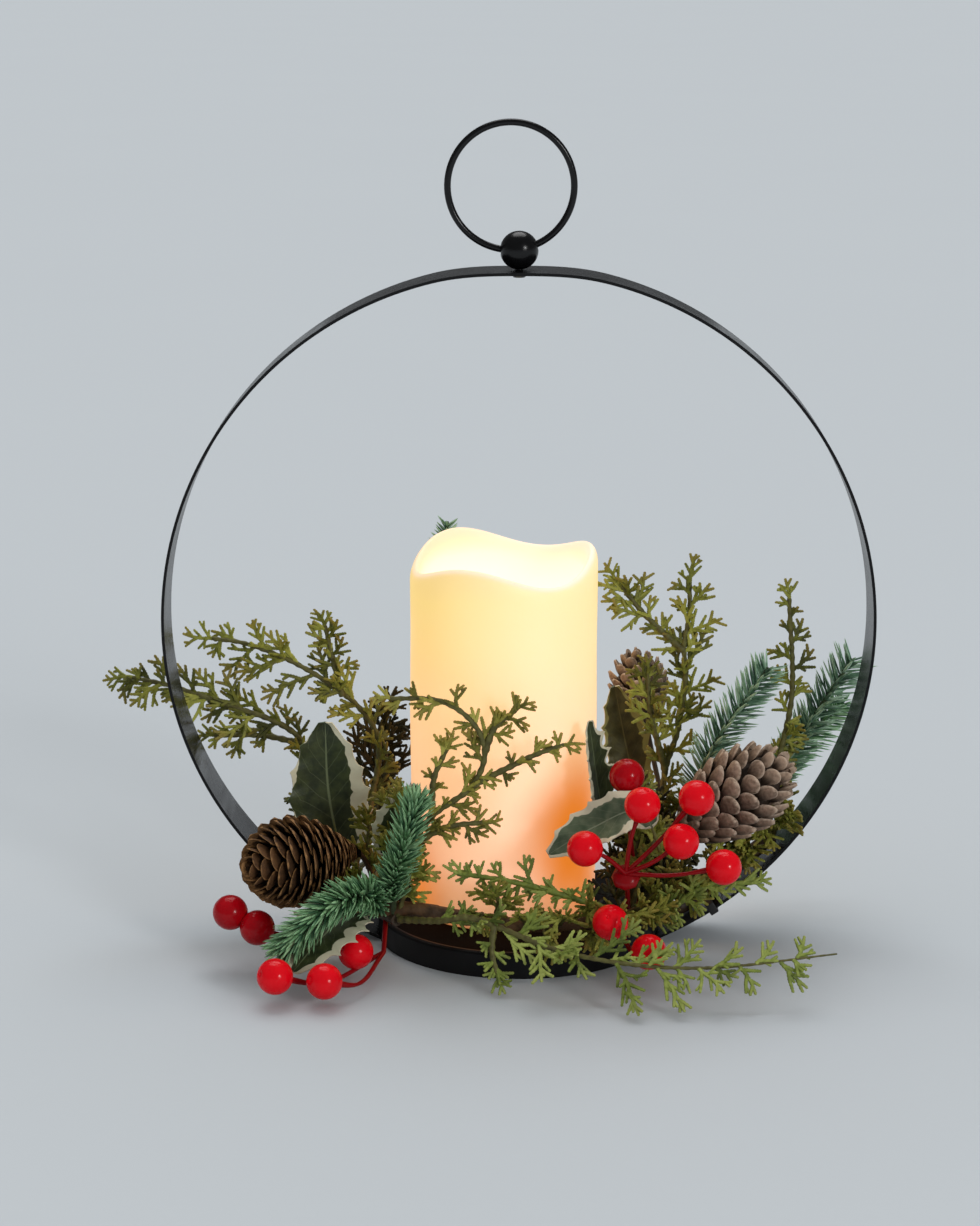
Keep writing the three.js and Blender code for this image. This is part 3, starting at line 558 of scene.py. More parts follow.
@dataclass(frozen=True)
class LitWax(Finish):
    """Ivory wax with the inner lamp's glow painted on as emission, brightest round the opening, and painted
    shade where less light reaches it.
    """

    axis: Point = (CANDLE_X, CANDLE_Y, 0.0)
    foot: float = 10.0
    rim: float = 160.0
    outside: float = 33.9
    inside: float = 31.9
    lip: tuple[float, float] = (37.5, 36.3)
    left: float = -38.0
    right: float = 20.0
    glow: tuple[Stop, ...] = (
        (0.0, (0.42, 0.15, 0.045)), (0.08, (0.64, 0.28, 0.125)), (0.16, (0.82, 0.39, 0.215)),
        (0.32, (0.87, 0.435, 0.22)), (0.55, (0.83, 0.45, 0.185)), (0.75, (0.78, 0.48, 0.135)),
        (0.9, (0.72, 0.48, 0.11)), (1.0, (0.63, 0.42, 0.11)))
    hollow_glow: tuple[Stop, ...] = (
        (0.84, (0.86, 0.84, 0.68)), (0.94, (0.84, 0.8, 0.56)), (1.0, (0.66, 0.52, 0.2)))
    lip_glow: Colour = (0.66, 0.47, 0.3)
    # Painted shade where greenery keeps light off the wax: a deeper amber glow and a dark skin, in the spots
    # listed below.
    shade_spot_glow: Colour = (0.78, 0.2, 0.014)
    # Painted shade and light: the wax skin is darker and warmer on its left side and lighter on its right.
    shaded_left_skin: Colour = (0.54, 0.47, 0.3)
    lit_right_skin: Colour = (0.62, 0.6, 0.52)
    shade_spot_skin: Colour = (0.1, 0.06, 0.03)
    # Painted shade: a darker skin for the wax inside the hollow.
    shaded_hollow_skin: Colour = (0.42, 0.4, 0.3)
    spots: tuple[tuple[Point, float, float], ...] = (
        ((28.5, -23.0, 45.0), 7.0, 34.0), ((-35.5, -9.0, 22.0), 2.0, 31.0))
    spot_squeeze: Point = (1.0, 1.0, 0.72)

    def _shade_spot(self, bench: NodeBench, here: Socket, wander: Socket, centre: Point, full: float,
              fade: float) -> Socket:
        """A soft-edged spot of painted shade, taller than wide, where greenery keeps light off the wax.

        Args:
            bench: The material's nodes.
            here: The place on the candle.
            wander: Makes the edge uneven.
            centre: The middle of the spot, from the candle's axis.
            full: How far from there it is whole.
            fade: How far from there it ends.

        Returns:
            The share of painted shade.
        """
        middle = tuple(value * MM for value in centre)
        offset = bench.node("VectorMath", {0: here, 1: middle}, operation="SUBTRACT")
        squeezed = bench.node("VectorMath", {0: offset, 1: self.spot_squeeze}, operation="MULTIPLY")
        away = bench.node("VectorMath", {0: squeezed}, "Value", operation="LENGTH")
        uneven = bench.math("ADD", away, bench.math("MULTIPLY", wander, 0.06))
        return bench.span(uneven, fade * MM, full * MM)

    def lay(self, bench: NodeBench) -> None:
        """The painted glow runs from amber at the foot to pale yellow at the rim.

        Args:
            bench: The material's nodes.
        """
        offset = tuple(-value * MM for value in self.axis)
        here = bench.node("Mapping", {"Vector": bench.place(), "Location": offset})
        x, y, z = (bench.axis(here, name) for name in "XYZ")
        height = bench.node("MapRange", {0: z, 1: self.foot * MM, 2: self.rim * MM})
        flat = bench.node("CombineXYZ", {0: x, 1: y})
        radius = bench.node("VectorMath", {0: flat}, "Value", operation="LENGTH")
        inward = bench.span(radius, self.outside * MM, self.inside * MM)
        open_share = bench.math("MULTIPLY", inward, bench.span(height, 0.1, 0.4))
        cloud = bench.noise(22, 3)
        wander = bench.centred(cloud, 0.16)
        glow = bench.ramp(bench.math("ADD", height, wander), *self.glow)
        # Painted shade on the left side of the wax, painted light on the right.
        skin = bench.mix(bench.span(x, self.left * MM, self.right * MM), self.shaded_left_skin, self.lit_right_skin)
        # Painted shade where greenery shades the wax: the skin darkens and the glow turns deeper amber.
        amber = bench.math("MAXIMUM", *(self._shade_spot(bench, here, wander, *spot) for spot in self.spots))
        skin = bench.mix(amber, skin, self.shade_spot_skin)
        glow = bench.mix(amber, glow, self.shade_spot_glow)
        lip = bench.math("MULTIPLY", bench.span(radius, self.lip[0] * MM, self.lip[1] * MM),
                         bench.span(height, 0.5, 0.7))
        glow = bench.mix(lip, glow, self.lip_glow)
        # Painted shade: the wax inside the hollow takes the darker skin under its painted glow.
        bench.set(
            Base_Color=bench.mix(open_share, skin, self.shaded_hollow_skin),
            Roughness=bench.span(cloud, 0.3, 0.7, 0.42, 0.6),
            Emission_Color=bench.mix(open_share, glow, bench.ramp(height, *self.hollow_glow)),
            Emission_Strength=1.0,
            Subsurface_Weight=0.12,
            Subsurface_Radius=(0.012, 0.006, 0.003),
            Subsurface_Scale=1.0,
        )
        bench.bump(bench.noise(260, 3), 0.00025, 0.5)


@dataclass(frozen=True)
class LampLens(Finish):
    """A warm, lit lens with a brighter nose."""

    def lay(self, bench: NodeBench) -> None:
        """The glow is uneven, as the chip shines through the moulding.

        Args:
            bench: The material's nodes.
        """
        cloud = bench.noise(500, 2)
        glow = bench.ramp(cloud, (0.3, (1.0, 0.72, 0.28)), (0.7, (1.0, 0.86, 0.5)))
        bench.set(Base_Color=glow, Roughness=0.15, Emission_Color=glow, Emission_Strength=2.5)


@dataclass(frozen=True)
class Leafy(Finish):
    """Moulded foliage: a colour for each copy, mottled, and turning towards its tip."""

    dark: Colour
    middle: Colour
    light: Colour
    tip: Colour
    roughness: float = 0.5
    mottle: float = 420.0

    def lay(self, bench: NodeBench) -> None:
        """The copy's tint picks the colour, noise mottles it and the tip shifts it.

        Args:
            bench: The material's nodes.
        """
        tint = bench.attribute("tint")
        patch = bench.noise(self.mottle, 3)
        level = bench.math("ADD", tint, bench.centred(patch, 1.1))
        colour = bench.ramp(level, (0.1, self.dark), (0.5, self.middle), (0.9, self.light))
        share = bench.math("MULTIPLY", bench.span(bench.attribute("along"), 0.55, 1.0), 0.75)
        bench.set(
            Base_Color=bench.mix(share, colour, self.tip),
            Roughness=bench.span(patch, 0.3, 0.7, self.roughness, self.roughness + 0.2),
            Specular_IOR_Level=0.35,
        )
        bench.bump(bench.noise(1500, 2), 0.00015, 0.6)


@dataclass(frozen=True)
class HollyFace(Finish):
    """A variegated leaf: dark centre, pale rib and an uneven cream margin."""

    green: Colour
    middle: Colour
    cream: Colour
    rib: Colour
    margin: float = 0.74

    def lay(self, bench: NodeBench) -> None:
        """The leaf's own UV gives the rib, the side veins and the margin.

        Args:
            bench: The material's nodes.
        """
        uv = bench.node("TexCoord", {}, "UV")
        across = bench.axis(uv, "X")
        along = bench.axis(uv, "Y")
        off_rib = bench.math("ABSOLUTE", bench.centred(across, 2.0))
        patch = bench.noise(70, 3)
        wavy = bench.math("ADD", off_rib, bench.centred(patch, 1.1))
        edge = bench.math("ADD", wavy, bench.attribute("cream"))
        slant = bench.math("SUBTRACT", bench.math("MULTIPLY", along, 9.0),
                           bench.math("MULTIPLY", off_rib, 2.2))
        vein = bench.span(bench.math("PINGPONG", slant, 0.5), 0.06, 0.0)
        blotch = bench.ramp(bench.noise(220, 3), (0.35, self.green), (0.65, self.middle))
        colour = bench.mix(bench.math("MULTIPLY", vein, 0.3), blotch, self.rib)
        colour = bench.mix(bench.span(edge, self.margin - 0.09, self.margin), colour, self.middle)
        colour = bench.mix(bench.span(edge, self.margin, self.margin + 0.03), colour, self.cream)
        colour = bench.mix(bench.span(off_rib, 0.045, 0.015), colour, self.rib)
        gloss = bench.span(patch, 0.3, 0.7, 0.38, 0.55)
        bench.set(Base_Color=colour, Roughness=gloss, Specular_IOR_Level=0.4)
        relief = bench.math("ADD", bench.math("MULTIPLY", vein, -0.5), bench.noise(900, 2))
        bench.bump(relief, 0.0002, 0.5)


@dataclass(frozen=True)
class ConeBark(Finish):
    """Woody scales, streaked, with a paler worn lip and painted shade deep inside the cone."""

    dark: Colour
    middle: Colour
    lip: Colour
    lip_start: float = 0.8

    def lay(self, bench: NodeBench) -> None:
        """Streaks run along each scale, painted shade darkens its root and the lip lightens.

        Args:
            bench: The material's nodes.
        """
        along = bench.attribute("along")
        tint = bench.attribute("tint")
        streak = bench.noise(700, 4)
        level = bench.math("ADD", bench.math("MULTIPLY", streak, 0.7), bench.math("MULTIPLY", tint, 0.4))
        wood = bench.ramp(level, (0.3, self.dark), (0.75, self.middle))
        # Painted shade: each scale darkens towards its root, where the scales above shade it.
        shadow = bench.span(along, 0.15, 0.7)
        wood = bench.mix(shadow, shade(self.dark, 0.35), wood)
        worn = bench.math("MULTIPLY", bench.span(along, self.lip_start, 1.0), bench.span(streak, 0.2, 0.6))
        bench.set(Base_Color=bench.mix(worn, wood, self.lip), Roughness=0.72, Specular_IOR_Level=0.25)
        bench.bump(streak, 0.0004, 0.7)


@dataclass(frozen=True)
class Lacquer(Finish):
    """Clear lacquer over a mottled colour."""

    dark: Colour
    light: Colour
    roughness: float = 0.22

    def lay(self, bench: NodeBench) -> None:
        """The copy's tint, softly mottled, under a smooth coat.

        Args:
            bench: The material's nodes.
        """
        level = bench.math("ADD", bench.attribute("tint"), bench.centred(bench.noise(130, 3), 0.4))
        bench.set(
            Base_Color=bench.ramp(level, (0.0, self.dark), (1.0, self.light)),
            Roughness=bench.span(bench.noise(600, 2), 0.3, 0.7, self.roughness, self.roughness + 0.1),
            Specular_IOR_Level=0.04,
            Coat_Weight=0.32,
            Coat_Roughness=0.16,
        )
        bench.bump(bench.noise(320, 2), 0.00012, 0.3)


BLACK_PAINT = Coated("satin_black_paint", (0.005, 0.005, 0.0055), roughness=(0.2, 0.26), uneven=0.12,
                     specular=0.3)
STRIP_PAINT = Coated("smooth_black_paint", (0.005, 0.005, 0.0055), roughness=(0.24, 0.28), uneven=0.12,
                     specular=0.2)
BASE_PAINT = Coated("matt_black_paint", (0.005, 0.005, 0.0055), roughness=(0.42, 0.5), uneven=0.12,
                    specular=0.22)
# A duller black for the recess of the base, whose darker colour is painted shade.
SHADED_RECESS_PAINT = Coated("dull_black_paint", (0.004, 0.004, 0.0042), roughness=(0.78, 0.9), uneven=0.12,
                      specular=0.06)
BRIGHT_STEEL = Coated("bright_steel", (0.5, 0.5, 0.51), roughness=(0.22, 0.36), metallic=1.0)
DARK_STEEL = Coated("blackened_steel", (0.05, 0.05, 0.052), roughness=(0.3, 0.42), metallic=1.0)
WAX = LitWax("lit_ivory_wax")
WHITE_PLASTIC = Coated("ivory_plastic", (0.72, 0.69, 0.62), roughness=(0.4, 0.55), uneven=0.04)
LAMP = LampLens("warm_lamp_lens")
BOARD = Coated("board_lacquer", (0.012, 0.09, 0.03), roughness=(0.3, 0.45), patch=300)
SLEEVE = Coated("battery_sleeve_film", (0.045, 0.052, 0.06), roughness=(0.25, 0.35), metallic=0.2)
BLACK_PLASTIC = Coated("black_plastic", (0.012, 0.012, 0.013), roughness=(0.42, 0.55), grain=2600)
CEDAR_OLIVE = Leafy("cedar_olive", (0.06, 0.065, 0.008), (0.18, 0.19, 0.022), (0.36, 0.37, 0.065),
                    (0.27, 0.2, 0.035))
# Painted light: a lighter, warmer copy of the olive cedar for the spray in front of the candle, where the
# candle's glow shines through it.
CEDAR_CANDLELIT = Leafy("cedar_gold", (0.085, 0.08, 0.01), (0.235, 0.215, 0.028), (0.43, 0.4, 0.08),
                   (0.38, 0.27, 0.045))
CEDAR_FRESH = Leafy("cedar_fresh", (0.08, 0.11, 0.015), (0.19, 0.245, 0.038), (0.36, 0.42, 0.1),
                    (0.3, 0.34, 0.08))
# Painted shade: near-black copies of the cedar for sprays that lie in shade deep in the bundles.
CEDAR_SHADED = Leafy("cedar_dark", (0.012, 0.012, 0.003), (0.032, 0.03, 0.006), (0.09, 0.085, 0.018),
                   (0.06, 0.045, 0.01))
CEDAR_STEM = Leafy("cedar_stem", (0.06, 0.05, 0.014), (0.12, 0.115, 0.03), (0.2, 0.2, 0.06),
                   (0.15, 0.16, 0.04))
FIR_BLUE = Leafy("fir_blue_green", (0.035, 0.105, 0.05), (0.105, 0.25, 0.1), (0.33, 0.54, 0.29),
                 (0.25, 0.47, 0.24))
FIR_DEEP = Leafy("fir_deep_green", (0.05, 0.11, 0.068), (0.165, 0.31, 0.195), (0.45, 0.63, 0.46),
                 (0.36, 0.54, 0.35))
FIR_STEM = Leafy("fir_stem", (0.02, 0.035, 0.015), (0.04, 0.06, 0.025), (0.07, 0.1, 0.04), (0.05, 0.08, 0.03))
HOLLY_TOP = HollyFace("holly_top", (0.018, 0.028, 0.01), (0.045, 0.06, 0.02), (0.6, 0.58, 0.42),
                      (0.13, 0.16, 0.08))
HOLLY_UNDER = HollyFace("holly_under", (0.05, 0.085, 0.042), (0.115, 0.15, 0.085), (0.62, 0.58, 0.42),
                        (0.2, 0.235, 0.15))
HOLLY_OLIVE = HollyFace("holly_olive", (0.035, 0.032, 0.009), (0.075, 0.07, 0.02), (0.24, 0.23, 0.075),
                        (0.11, 0.1, 0.035))
CONE_DARK = ConeBark("cone_dark_scales", (0.022, 0.01, 0.0042), (0.11, 0.05, 0.018), (0.31, 0.16, 0.06), 0.82)
CONE_TAUPE = ConeBark("cone_taupe_scales", (0.11, 0.068, 0.045), (0.37, 0.255, 0.18), (0.5, 0.38, 0.285),
                      0.72)
BERRY_RED = Lacquer("berry_red", (0.3, 0.001, 0.005), (0.95, 0.003, 0.012))
STEM_RED = Lacquer("stem_red", (0.18, 0.002, 0.004), (0.5, 0.005, 0.01), 0.35)
FLOOR_PAINT = Coated("studio_floor_paint", (0.509, 0.546, 0.578), roughness=(0.98, 1.0), patch=2.0,
                     uneven=0.003, grain=300.0, specular=0.0)
TWIG_BARK = Coated("brown_twig_bark", (0.1, 0.05, 0.018), roughness=(0.55, 0.75), patch=160, grain=900,
                   grain_depth=0.0003, uneven=0.5)
STEM_TAPE = Coated("brown_stem_tape", (0.05, 0.028, 0.011), roughness=(0.55, 0.75), patch=160, grain=900,
                   grain_depth=0.0003, uneven=0.5)


# Shapes that follow a line


@dataclass
class Spine:
    """A smooth line through points, with a side and a face all along it."""

    points: Sequence[Point]
    face: Point = FACING_FRONT
    pieces: int = 20

    def __post_init__(self) -> None:
        """Samples the line and measures it."""
        self.front = Vector(self.face).normalized()
        self.line = self._sampled()
        self.marks = [0.0]
        for start, end in zip(self.line, self.line[1:]):
            self.marks.append(self.marks[-1] + (end - start).length)
        self.length = self.marks[-1]

    def _sampled(self) -> list[Vector]:
        """Points along a centripetal curve through the knots.

        Returns:
            The points.
        """
        knots = [Vector(point) for point in self.points]
        knots = [2 * knots[0] - knots[1], *knots, 2 * knots[-1] - knots[-2]]
        line = [knots[1]]
        for a, b, c, d in zip(knots, knots[1:], knots[2:], knots[3:]):
            first, span, last = (math.sqrt((q - p).length) for p, q in ((a, b), (b, c), (c, d)))
            leave = span * ((b - a) / first - (c - a) / (first + span) + (c - b) / span)
            arrive = span * ((c - b) / span - (d - b) / (span + last) + (d - c) / last)
            for k in range(1, self.pieces + 1):
                t = k / self.pieces
                line.append(b * (2 * t**3 - 3 * t**2 + 1) + leave * (t**3 - 2 * t**2 + t)
                            + c * (3 * t**2 - 2 * t**3) + arrive * (t**3 - t**2))
        return line

    def at(self, distance: float) -> tuple[Vector, Vector]:
        """Finds a spot on the line.

        Args:
            distance: How far along it is.

        Returns:
            The point and the direction there.
        """
        index = clamp(bisect_left(self.marks, distance), 1, len(self.marks) - 1)
        start, end = self.line[index - 1], self.line[index]
        gap = self.marks[index] - self.marks[index - 1]
        point = start.lerp(end, (distance - self.marks[index - 1]) / gap)
        before = self.line[max(index - 2, 0)]
        after = self.line[min(index + 1, len(self.line) - 1)]
        return point, (after - before).normalized()

    def axes(self, distance: float) -> tuple[Vector, Vector, Vector, Vector]:
        """Finds a spot on the line and how the line is turned there.

        Args:
            distance: How far along it is.

        Returns:
            The point, direction, side and face there.
        """
        point, tangent = self.at(distance)
        side = tangent.cross(self.front).normalized()
        return point, tangent, side, side.cross(tangent)

    def spaced(self, count: int) -> list[Vector]:
        """Points at equal steps from end to end."""
        return [self.at(self.length * k / count)[0] for k in range(count + 1)]


def on_strip(degrees: float, y: float) -> Point:
    """A point on the stems' line along the strip, at an angle round the hoop."""
    angle = math.radians(degrees)
    return BUNDLE_LINE_RADIUS * math.cos(angle), y, HOOP_CENTRE + BUNDLE_LINE_RADIUS * math.sin(angle)


LEFT_BUNDLE = Spine([on_strip(223, 0), on_strip(232, 0), on_strip(240, -1), (-60, -14, 15.5),
                     (-54, -30, 18), (-48, -42, 19)])
RIGHT_BUNDLE = Spine([on_strip(-41, 0), on_strip(-56, 0), on_strip(-61, -2), (55, -16, 15.5),
                      (46, -32, 18), (40, -42, 19)])
FRONT_STEM = Spine([(-55, -28, 18), (-50, -38, 22), (-40, -42.5, 23.5), (-22, -44.5, 21), (0, -46, 18.5),
                    (22, -46, 19), (36, -43.5, 20.5), (46, -33, 18.5)])


def seated(points: Sequence[Point], bundle: Optional[Spine] = None) -> list[Point]:
    """Moves the root of a sprig to the nearest spot in its bundle.

    Args:
        points: The sprig's points.
        bundle: The stems that carry it, or nothing for the bundle on its own side.

    Returns:
        The points with the root moved.
    """
    root = Vector(points[0])
    if bundle is None:
        bundle = LEFT_BUNDLE if root.x < 0 else RIGHT_BUNDLE
    spots = bundle.spaced(BUNDLE_SPOTS)
    near = min(range(len(spots)), key=lambda k: (spots[k] - root).length)
    radius = taper(*BUNDLE_RADII, BUNDLE_SPOTS)[near]
    out = (root - spots[near]).normalized()
    return [tuple(spots[near] + out * (radius - 1.0)), *points[1:]]


def clear_of_candle(*points: Vector) -> bool:
    """Whether points leave the candle room to lift."""
    return all(math.hypot(p.x - CANDLE_X, p.y - CANDLE_Y) > CANDLE_CLEARANCE for p in points)


def clear_of_strip(*points: Vector) -> bool:
    """Whether points abreast of the strip stay inside the hoop."""
    return all(abs(p.y) > STRIP_REACH or math.hypot(p.x, p.z - HOOP_CENTRE) < STRIP_INSIDE for p in points)


# Sub-assemblies


@dataclass
class Studio:
    """Camera, floor and soft light."""

    camera_place: Point = (0.0, -1150.0, 406.3)
    pitch: float = 13.29
    turn: float = 0.57
    lens: float = 86.186
    sensor: float = 36.0
    floor_size: float = 400.0
    backdrop: Colour = (0.52, 0.557, 0.59)
    ceiling: Colour = (0.1, 0.103, 0.107)
    horizon: Colour = (0.405, 0.405, 0.402)
    zenith: Colour = (0.63, 0.63, 0.622)
    lamps: tuple[tuple[str, float, Point, float], ...] = (
        ("overhead_softbox", 1.4, (0.0, 0.5, 1.0), 45), ("front_spark", 0.85, (0.62, -0.8, 0.34), 12))

    def build(self) -> None:
        """Sets the view, the floor, the world and the lamps."""
        bpy.context.scene.view_settings.view_transform = "Standard"
        self._camera()
        self._floor()
        self._world()
        for lamp in self.lamps:
            self._sun(*lamp)

    def _camera(self) -> None:
        """Looks down at the lantern from the front."""
        deselect()
        bpy.ops.object.camera_add(
            location=Vector(self.camera_place) * MM,
            rotation=(math.radians(90 - self.pitch), 0, math.radians(self.turn)),
        )
        camera = bpy.context.object
        camera.data.lens = self.lens
        camera.data.sensor_width = self.sensor
        bpy.context.scene.camera = camera

    def _floor(self) -> None:
        """A wide pale floor that also makes the background."""
        deselect()
        bpy.ops.mesh.primitive_plane_add(size=self.floor_size)
        floor = wear(bpy.context.object, FLOOR_PAINT)
        floor.name = "studio_floor"

    def _world(self) -> None:
        """Soft light from all round, stronger from above, seen as a plain backdrop."""
        world = bpy.data.worlds.new("studio_world")
        bench = NodeBench(world, "Background")
        up = bench.axis(bench.node("TexCoord", {}, "Generated"), "Z")
        light = bench.ramp(up, (0.0, self.horizon), (1.0, self.zenith))
        camera, glossy, through = (bench.node("LightPath", {}, f"Is {kind} Ray")
                                   for kind in ("Camera", "Glossy", "Transmission"))
        room = bench.ramp(up, (0.0, self.backdrop), (0.12, self.ceiling))
        mirrored = bench.mix(glossy, light, room)
        seen = bench.math("MAXIMUM", camera, through)
        bench.set(Color=bench.mix(seen, mirrored, self.backdrop), Strength=1.0)
        bpy.context.scene.world = world

    def _sun(self, name: str, energy: float, place: Point, spread: float) -> None:
        """Adds a distant lamp.

        Args:
            name: The lamp's name.
            energy: Its strength.
            place: The direction that its light comes from.
            spread: How wide it looks, in degrees.
        """
        deselect()
        turn = (-Vector(place)).to_track_quat("-Z", "Y").to_euler()
        bpy.ops.object.light_add(type="SUN", location=place, rotation=turn)
        lamp = bpy.context.object
        lamp.name = name
        lamp.data.energy = energy
        lamp.data.angle = math.radians(spread)


@dataclass
class HoopFrame:
    """The strip hoop, the pressed base, its rivets, and the ball with its screw."""

    facets: int = 288
    top_flat: float = 1.2
    flat_reach: float = 34.0
    base_radius: float = 57.4
    base_height: float = 10.5
    plate_top: float = 9.7
    wall: float = 1.0
    lip_width: float = 2.2
    notch: tuple[float, float] = (26.3, 2.9)
    rivet_x: float = 22.0
    rivet_shank: float = 1.6
    rivet_head: float = 3.1
    sink_top: float = 1.3
    lip_round: tuple[float, float] = (1.2, 0.42)
    turned: int = 144
    drilled: int = 32
    dimple: tuple[float, float] = (5.2, 9.4)
    ball_radius: float = 7.6
    ball_centre: float = 280.5
    ball_seat: float = 7.2
    bore: float = 2.3
    bore_place: Point = (-0.132, 0.0, 281.491)
    lean: float = 7.6
    screw: tuple[float, float, float] = (1.5, 3.0, 1.6)
    hoop_top: float = 273.0
    gap: float = 0.3

    def build(self) -> None:
        """Builds and places every piece."""
        settle(wear(self._strip(), STRIP_PAINT), "strip_hoop", Body.FRAME, "black_metal", "hoop_strip")
        settle(self._pan(), "pressed_base", Body.FRAME, "black_metal", "base_pan")
        rivet = wear(self._rivet(), BRIGHT_STEEL)
        for side, x in (("left", -self.rivet_x), ("right", self.rivet_x)):
            copy = stamp(rivet, Matrix.Translation((x, 0, 0)))
            settle(copy, f"rivet_{side}", Body.FRAME, "steel", f"base_rivet_{side}")
        scrap(rivet)
        settle(wear(self._ball(), BLACK_PAINT), "drilled_ball", Body.FRAME, "black_metal", "hanger_ball")
        settle(wear(self._screw(), DARK_STEEL), "ball_screw", Body.FRAME, "steel", "hanger_screw")

    def _strip(self) -> Piece:
        """A rolled strip with a long flat on the ground, eased flatter under the ball.

        Returns:
            The strip.
        """
        deselect()
        bpy.ops.mesh.primitive_circle_add(
            vertices=self.facets, radius=HOOP_RADIUS, fill_type="NOTHING",
            location=(0, -STRIP_WIDTH / 2, HOOP_CENTRE), rotation=(math.pi / 2, 0, 0),
        )
        strip = bpy.context.object
        apply_place()
        edit()
        bpy.ops.mesh.extrude_region_move(TRANSFORM_OT_translate={"value": (0, STRIP_WIDTH, 0)})
        bpy.ops.mesh.select_all(action="SELECT")
        bpy.ops.mesh.bisect(plane_co=(0, 0, STRIP_THICKNESS / 2), plane_no=(0, 0, 1), clear_inner=True)
        bpy.ops.mesh.bridge_edge_loops()
        close_seams()
        leave_edit()
        for vertex in strip.data.vertices:
            if vertex.co.z > HOOP_CENTRE:
                vertex.co.z -= self.top_flat * (1 - ease(clamp(abs(vertex.co.x) / self.flat_reach)))
        modify(strip, "SOLIDIFY", thickness=STRIP_THICKNESS, offset=0.0, use_even_offset=True)
        for x in (-self.rivet_x, self.rivet_x):
            sink = [(0, -0.1), (self.rivet_head + self.gap, -0.1),
                    (self.rivet_shank + self.gap, self.sink_top), (0, self.sink_top)]
            cut(strip, lathe(sink, self.drilled, (x, 0, 0)))
        hole = self.screw[0] + self.gap
        cut(strip, lathe([(0, -4), (hole, -4), (hole, 4), (0, 4)], self.drilled, (0, 0, self.hoop_top)))
        return round_edges(strip, 0.28, 40)

    def _pan(self) -> Piece:
        """An upside-down pressed pan with a low lip, notched for the strip and dimpled to its rivets.

        Returns:
            The pan.
        """
        outer, top, under = self.base_radius, self.base_height, self.plate_top - self.wall
        inner = outer - self.lip_width - self.wall
        full, half = self.lip_round
        pan = lathe([
            (0, under), (inner, under), (outer - self.wall, under - 0.3), (outer - self.wall, 0), (outer, 0),
            (outer, top - full), (outer - half, top - half), (outer - full, top),
            (outer - self.lip_width, top), (inner, self.plate_top), (0, self.plate_top),
        ], self.turned)
        floor = STRIP_THICKNESS + self.gap
        low, high = self.dimple
        for x in (-self.rivet_x, self.rivet_x):
            place = (x, 0, 0)
            outside = [(0, floor), (low, floor), (high, self.plate_top - 0.1), (0, self.plate_top - 0.1)]
            inside = [(0, floor + self.wall), (low - self.wall, floor + self.wall),
                      (high, self.plate_top + 0.1), (0, self.plate_top + 0.1)]
            hole = self.rivet_shank + self.gap
            cut(pan, lathe(outside, 48, place), "UNION")
            cut(pan, lathe(inside, 48, place))
            cut(pan, lathe([(0, 0), (hole, 0), (hole, 6), (0, 6)], self.drilled, place))
        width, height = self.notch
        for side in (-1, 1):
            cut(pan, block((20, width, 2 * height), (side * outer, 0, 0)))
        round_edges(pan, 0.22, 25)
        wear(pan, BASE_PAINT, SHADED_RECESS_PAINT)
        # Painted shade: the recessed top faces take the darker, duller paint.
        for face in pan.data.polygons:
            x, y, z = face.center
            recessed = math.hypot(x, y) < inner + 0.5 and self.plate_top - 1.5 * self.wall < z
            face.material_index = int(recessed and face.normal.z > 0.5)
        return pan

    def _rivet(self) -> Piece:
        """A countersunk rivet with a domed upper head.

        Returns:
            The rivet.
        """
        seat = STRIP_THICKNESS + self.gap + self.wall + self.gap
        head, shank = self.rivet_head, self.rivet_shank
        rivet = lathe([(0, 0.05), (head, 0.05), (shank, STRIP_THICKNESS), (shank, seat), (head, seat),
                       (head - 0.4, seat + 0.9), (head - 1.6, seat + 1.6), (0, seat + 1.8)], self.drilled)
        return round_edges(rivet, 0.15, 25)

    def _ball(self) -> Piece:
        """A ball with a small seat, a tapped hole and a bore for the ring.

        Returns:
            The ball.
        """
        start = -math.asin(self.ball_seat / self.ball_radius)
        arc = [start + (math.pi / 2 - start) * k / 28 for k in range(29)]
        rim = [(self.ball_radius * math.cos(a), self.ball_radius * math.sin(a)) for a in arc[:-1]]
        ball = lathe([(0, -self.ball_seat), *rim, (0, self.ball_radius)], 56, (0, 0, self.ball_centre))
        hole = self.screw[0] + self.gap
        cut(ball, lathe([(0, 0), (hole, 0), (hole, 5), (0, 5)], 24, (0, 0, self.hoop_top - 0.3)))
        deselect()
        bpy.ops.mesh.primitive_cylinder_add(
            vertices=40, radius=self.bore, depth=40, location=self.bore_place,
            rotation=(0, math.pi / 2 - math.radians(self.lean), 0),
        )
        drill = bpy.context.object
        apply_place()
        cut(ball, drill)
        return round_edges(ball, 0.2, 35)

    def _screw(self) -> Piece:
        """A pan-head screw that holds the ball from inside the hoop.

        Returns:
            The screw.
        """
        shank, head, height = self.screw
        top = self.hoop_top - STRIP_THICKNESS - self.gap
        tip = self.hoop_top + 4.4
        screw = lathe([(0, top - height), (head - 0.8, top - height), (head, top - height / 2), (head, top),
                       (shank, top), (shank, tip - 0.5), (shank - 0.5, tip), (0, tip)], self.drilled)
        for slot in ((0.7, 4.2, 1.4), (4.2, 0.7, 1.4)):
            cut(screw, block(slot, (0, 0, top - height)))
        return round_edges(screw, 0.12, 25)


@dataclass
class HangingRing:
    """The wire ring that swings through the ball."""

    radius: float = 24.7
    wire: float = 1.35
    centre: Point = (-3.32, 0.0, 305.38)
    steps: int = 128

    def build(self) -> None:
        """Spins the wire's section round the ring."""
        deselect()
        x, y, z = self.centre
        bpy.ops.mesh.primitive_circle_add(vertices=20, radius=self.wire, fill_type="NOTHING",
                                          location=(x + self.radius, y, z))
        ring = bpy.context.object
        apply_place()
        edit()
        bpy.ops.mesh.spin(steps=self.steps, angle=math.tau, center=self.centre, axis=(0, 1, 0))
        close_seams()
        leave_edit()
        round_edges(ring, 0, 60)
        settle(wear(ring, BLACK_PAINT), "wire_ring", Body.RING, "black_metal", "hanger_ring")


